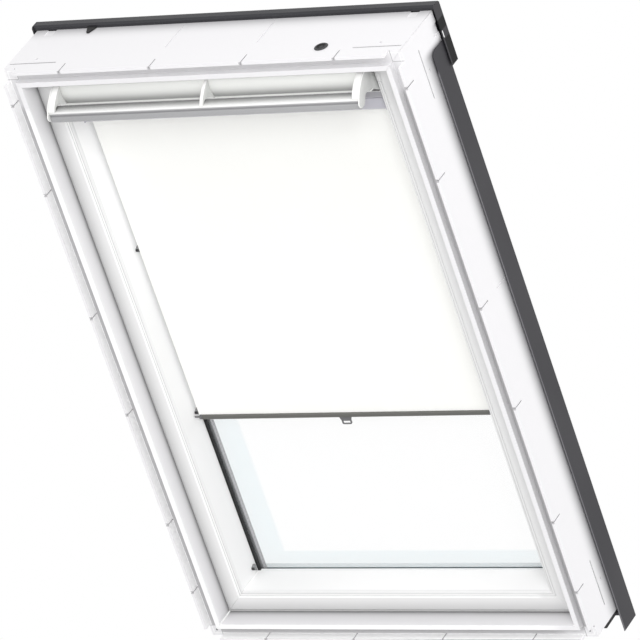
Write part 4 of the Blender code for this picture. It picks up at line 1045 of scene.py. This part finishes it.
def repeated(name, material, start, step, count, size):
    """A row of small blocks, repeated by a small node tree."""
    given = (("Start", "Vector", start), ("Step", "Vector", step), ("Count", "Int", count),
             ("Size", "Vector", size))
    tree = bpy.data.node_groups.new(name, "GeometryNodeTree")
    tree.interface.new_socket("Geometry", in_out="OUTPUT", socket_type="NodeSocketGeometry")
    sockets = [tree.interface.new_socket(label, in_out="INPUT", socket_type="NodeSocket" + kind).identifier
               for label, kind, _ in given]
    group = tree.nodes.new("NodeGroupInput").outputs
    line = tree.nodes.new("GeometryNodeMeshLine")
    block = tree.nodes.new("GeometryNodeMeshCube")
    blocks = tree.nodes.new("GeometryNodeInstanceOnPoints")
    real = tree.nodes.new("GeometryNodeRealizeInstances")
    painted = tree.nodes.new("GeometryNodeSetMaterial")
    out = tree.nodes.new("NodeGroupOutput")
    painted.inputs["Material"].default_value = material
    for source, target in ((group["Start"], line.inputs["Start Location"]),
                           (group["Step"], line.inputs["Offset"]),
                           (group["Count"], line.inputs["Count"]),
                           (group["Size"], block.inputs["Size"]),
                           (line.outputs[0], blocks.inputs["Points"]),
                           (block.outputs[0], blocks.inputs["Instance"]),
                           (blocks.outputs[0], real.inputs[0]),
                           (real.outputs[0], painted.inputs["Geometry"]),
                           (painted.outputs[0], out.inputs[0])):
        tree.links.new(source, target)
    run = placed(name, bpy.data.meshes.new(name))
    modifier = run.modifiers.new("repeat", "NODES")
    modifier.node_group = tree
    for socket, (_, _, value) in zip(sockets, given):
        modifier[socket] = value
    return bake_modifiers(run)


def perforate_spacer():
    """Two rows of breather slots, thin dark blocks of painted shade, on each of the spacer's four sides."""
    corners = [vertex.co for vertex in NODES["glass_spacer"].data.vertices]
    half = min(abs(corner.x) for corner in corners)
    foot = max(corner.z for corner in corners if corner.z < HEIGHT / 2)
    head = min(corner.z for corner in corners if corner.z > HEIGHT / 2)
    low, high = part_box("glass_spacer")
    upright_count = int((head - foot) / BREATHER_STEP) - 1
    level_count = int(2 * half / BREATHER_STEP) - 1
    runs = []
    for row in (-BREATHER_ROWS / 2, BREATHER_ROWS / 2):
        depth = (low.y + high.y) / 2 + row
        for sign in (-1, 1):
            runs.append(repeated("upright_run", SLOT_SHADE, (sign * half, depth, foot + BREATHER_STEP),
                                 (0.0, 0.0, BREATHER_STEP), upright_count,
                                 (BREATHER_PROUD, BREATHER_WIDE, BREATHER_LONG)))
        for height in (foot, head):
            runs.append(repeated("level_run", SLOT_SHADE, (BREATHER_STEP - half, depth, height),
                                 (BREATHER_STEP, 0.0, 0.0), level_count,
                                 (BREATHER_LONG, BREATHER_WIDE, BREATHER_PROUD)))
    slots = joined("spacer_slots", runs)
    give(slots, SLOT_SHADE)
    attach(slots, "sash")


make_flap()
make_bar()
make_brackets()
for side in ("left", "right"):
    for place in ("upper", "middle", "lower"):
        make_hook("hook_%s_%s" % (side, place))
perforate_spacer()


# Blind cloth

# Shares of the drop where one band of cloth ends and the next begins
CLOTH_BANDS = (0.0, 0.03, 0.10, 0.22, 0.36, 0.50, 0.64, 0.78, 0.90, 0.97, 1.0)
CLOTH_BOW = 0.00025
CLOTH_COLUMNS = 24
CLOTH_ROWS = 6


def hang_band(number, first, last):
    """One band of the cloth, between two shares of the drop."""
    low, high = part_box("blind_fabric")
    half = high.x
    whole = high.z - low.z
    top = high.z - whole * first
    drop = whole * (last - first)
    middle = (low.y + high.y) / 2
    form = bmesh.new()
    layer = form.loops.layers.uv.new("cut")
    grid = []
    for row in range(CLOTH_ROWS + 1):
        height = top - drop * row / CLOTH_ROWS
        line = []
        for column in range(CLOTH_COLUMNS + 1):
            side = column / CLOTH_COLUMNS * 2 - 1
            bow = CLOTH_BOW * math.sin(math.pi * (high.z - height) / whole) * math.cos(math.pi * side * 1.5)
            line.append(form.verts.new((half * side, middle + bow, height)))
        grid.append(line)
    for upper, lower in zip(grid, grid[1:]):
        for column in range(CLOTH_COLUMNS):
            face = form.faces.new((lower[column], lower[column + 1], upper[column + 1], upper[column]))
            for loop in face.loops:
                loop[layer].uv = (loop.vert.co.x + half, high.z - loop.vert.co.z)
            face.smooth = True
    cloth = from_form("blind_cloth_%02d" % number, form)
    give(cloth, CLOTH)
    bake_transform(cloth)
    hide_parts("blind_fabric")


for number, (first, last) in enumerate(zip(CLOTH_BANDS, CLOTH_BANDS[1:]), start=1):
    hang_band(number, first, last)


# Floor, light and camera

SKY_LIGHT = 0.50
FLOOR_SIZE = 12.0
FLOOR_HEIGHT = -1.2
SOFTBOX_SIZE = 3.0
SOFTBOX_AIM = (0, 0, 0.6)
CAMERA_REACH = 100.0
# Places in metres and powers in watts
SOFTBOXES = (("key_softbox", (3.52, -3.84, 4.31), 155.0), ("fill_softbox", (-3.61, -4.59, 3.55), 50.0),
             ("low_softbox", (-1.20, -6.20, 1.10), 25.0), ("top_softbox", (1.30, -1.30, 6.85), 105.0),
             ("side_softbox", (6.22, -0.98, 2.24), 50.0), ("rear_softbox", (4.50, 3.60, 3.30), 60.0))


def emissive_white(name):
    """A surface that the camera and reflections see as white paper."""
    graph = Graph(name, (0.9, 0.9, 0.9), 0.9)
    rays = graph.node("ShaderNodeLightPath").outputs
    seen = graph.most(rays["Is Glossy Ray"], rays["Is Transmission Ray"], rays["Is Camera Ray"])
    paper = graph.node("ShaderNodeEmission", Color=(1.0, 1.0, 1.0, 1.0), Strength=1.0).outputs[0]
    blend = graph.node("ShaderNodeMixShader")
    for socket, value in zip(blend.inputs, (seen, graph.shader.outputs[0], paper)):
        graph.feed(socket, value)
    graph.feed(graph.tree.nodes["Material Output"].inputs["Surface"], blend.outputs[0])
    return graph.material


def lay_floor():
    form = bmesh.new()
    bmesh.ops.create_grid(form, x_segments=1, y_segments=1, size=FLOOR_SIZE)
    bmesh.ops.translate(form, verts=form.verts, vec=(0, 0, FLOOR_HEIGHT))
    floor = from_form("studio_floor", form)
    give(floor, emissive_white("paper_white"))


def set_world():
    """White for the camera and reflections, and a softer white as light."""
    world = bpy.data.worlds.new("studio")
    bpy.context.scene.world = world
    world.use_nodes = True
    tree = world.node_tree
    tree.nodes.clear()
    rays = tree.nodes.new("ShaderNodeLightPath").outputs
    reflected = tree.nodes.new("ShaderNodeMath")
    reflected.operation = "MAXIMUM"
    seen = tree.nodes.new("ShaderNodeMath")
    seen.operation = "MAXIMUM"
    strength = tree.nodes.new("ShaderNodeMapRange")
    strength.inputs["To Min"].default_value = SKY_LIGHT
    strength.inputs["To Max"].default_value = 1.0
    back = tree.nodes.new("ShaderNodeBackground")
    back.inputs["Color"].default_value = (1.0, 1.0, 1.0, 1.0)
    out = tree.nodes.new("ShaderNodeOutputWorld")
    for source, target in ((rays["Is Glossy Ray"], reflected.inputs[0]),
                           (rays["Is Transmission Ray"], reflected.inputs[1]),
                           (rays["Is Camera Ray"], seen.inputs[0]),
                           (reflected.outputs[0], seen.inputs[1]),
                           (seen.outputs[0], strength.inputs["Value"]),
                           (strength.outputs[0], back.inputs["Strength"]),
                           (back.outputs[0], out.inputs["Surface"])):
        tree.links.new(source, target)


def add_softbox(name, place, power):
    """A square area light that looks at the window's middle."""
    lamp = bpy.data.lights.new(name, "AREA")
    lamp.shape = "RECTANGLE"
    lamp.size = SOFTBOX_SIZE
    lamp.size_y = SOFTBOX_SIZE
    lamp.energy = power
    box = placed(name, lamp)
    box.location = place
    box.rotation_euler = (Vector(SOFTBOX_AIM) - Vector(place)).to_track_quat("-Z", "Y").to_euler()


def set_camera():
    lens = bpy.data.cameras.new("camera")
    lens.sensor_fit = "HORIZONTAL"
    lens.sensor_width = SENSOR
    lens.lens = CAMERA_LENS
    lens.clip_end = CAMERA_REACH
    camera = placed("camera", lens)
    turn = Matrix.Rotation(CAMERA_TURN, 4, "Z")
    tip = Matrix.Rotation(math.pi / 2 - CAMERA_RISE, 4, "X")
    roll = Matrix.Rotation(CAMERA_ROLL, 4, "Z")
    camera.matrix_world = Matrix.Translation(CAMERA_PLACE) @ turn @ tip @ roll
    bpy.context.scene.camera = camera


lay_floor()
set_world()
for name, place, power in SOFTBOXES:
    add_softbox(name, place, power)
set_camera()
bpy.context.scene.view_settings.view_transform = "Standard"
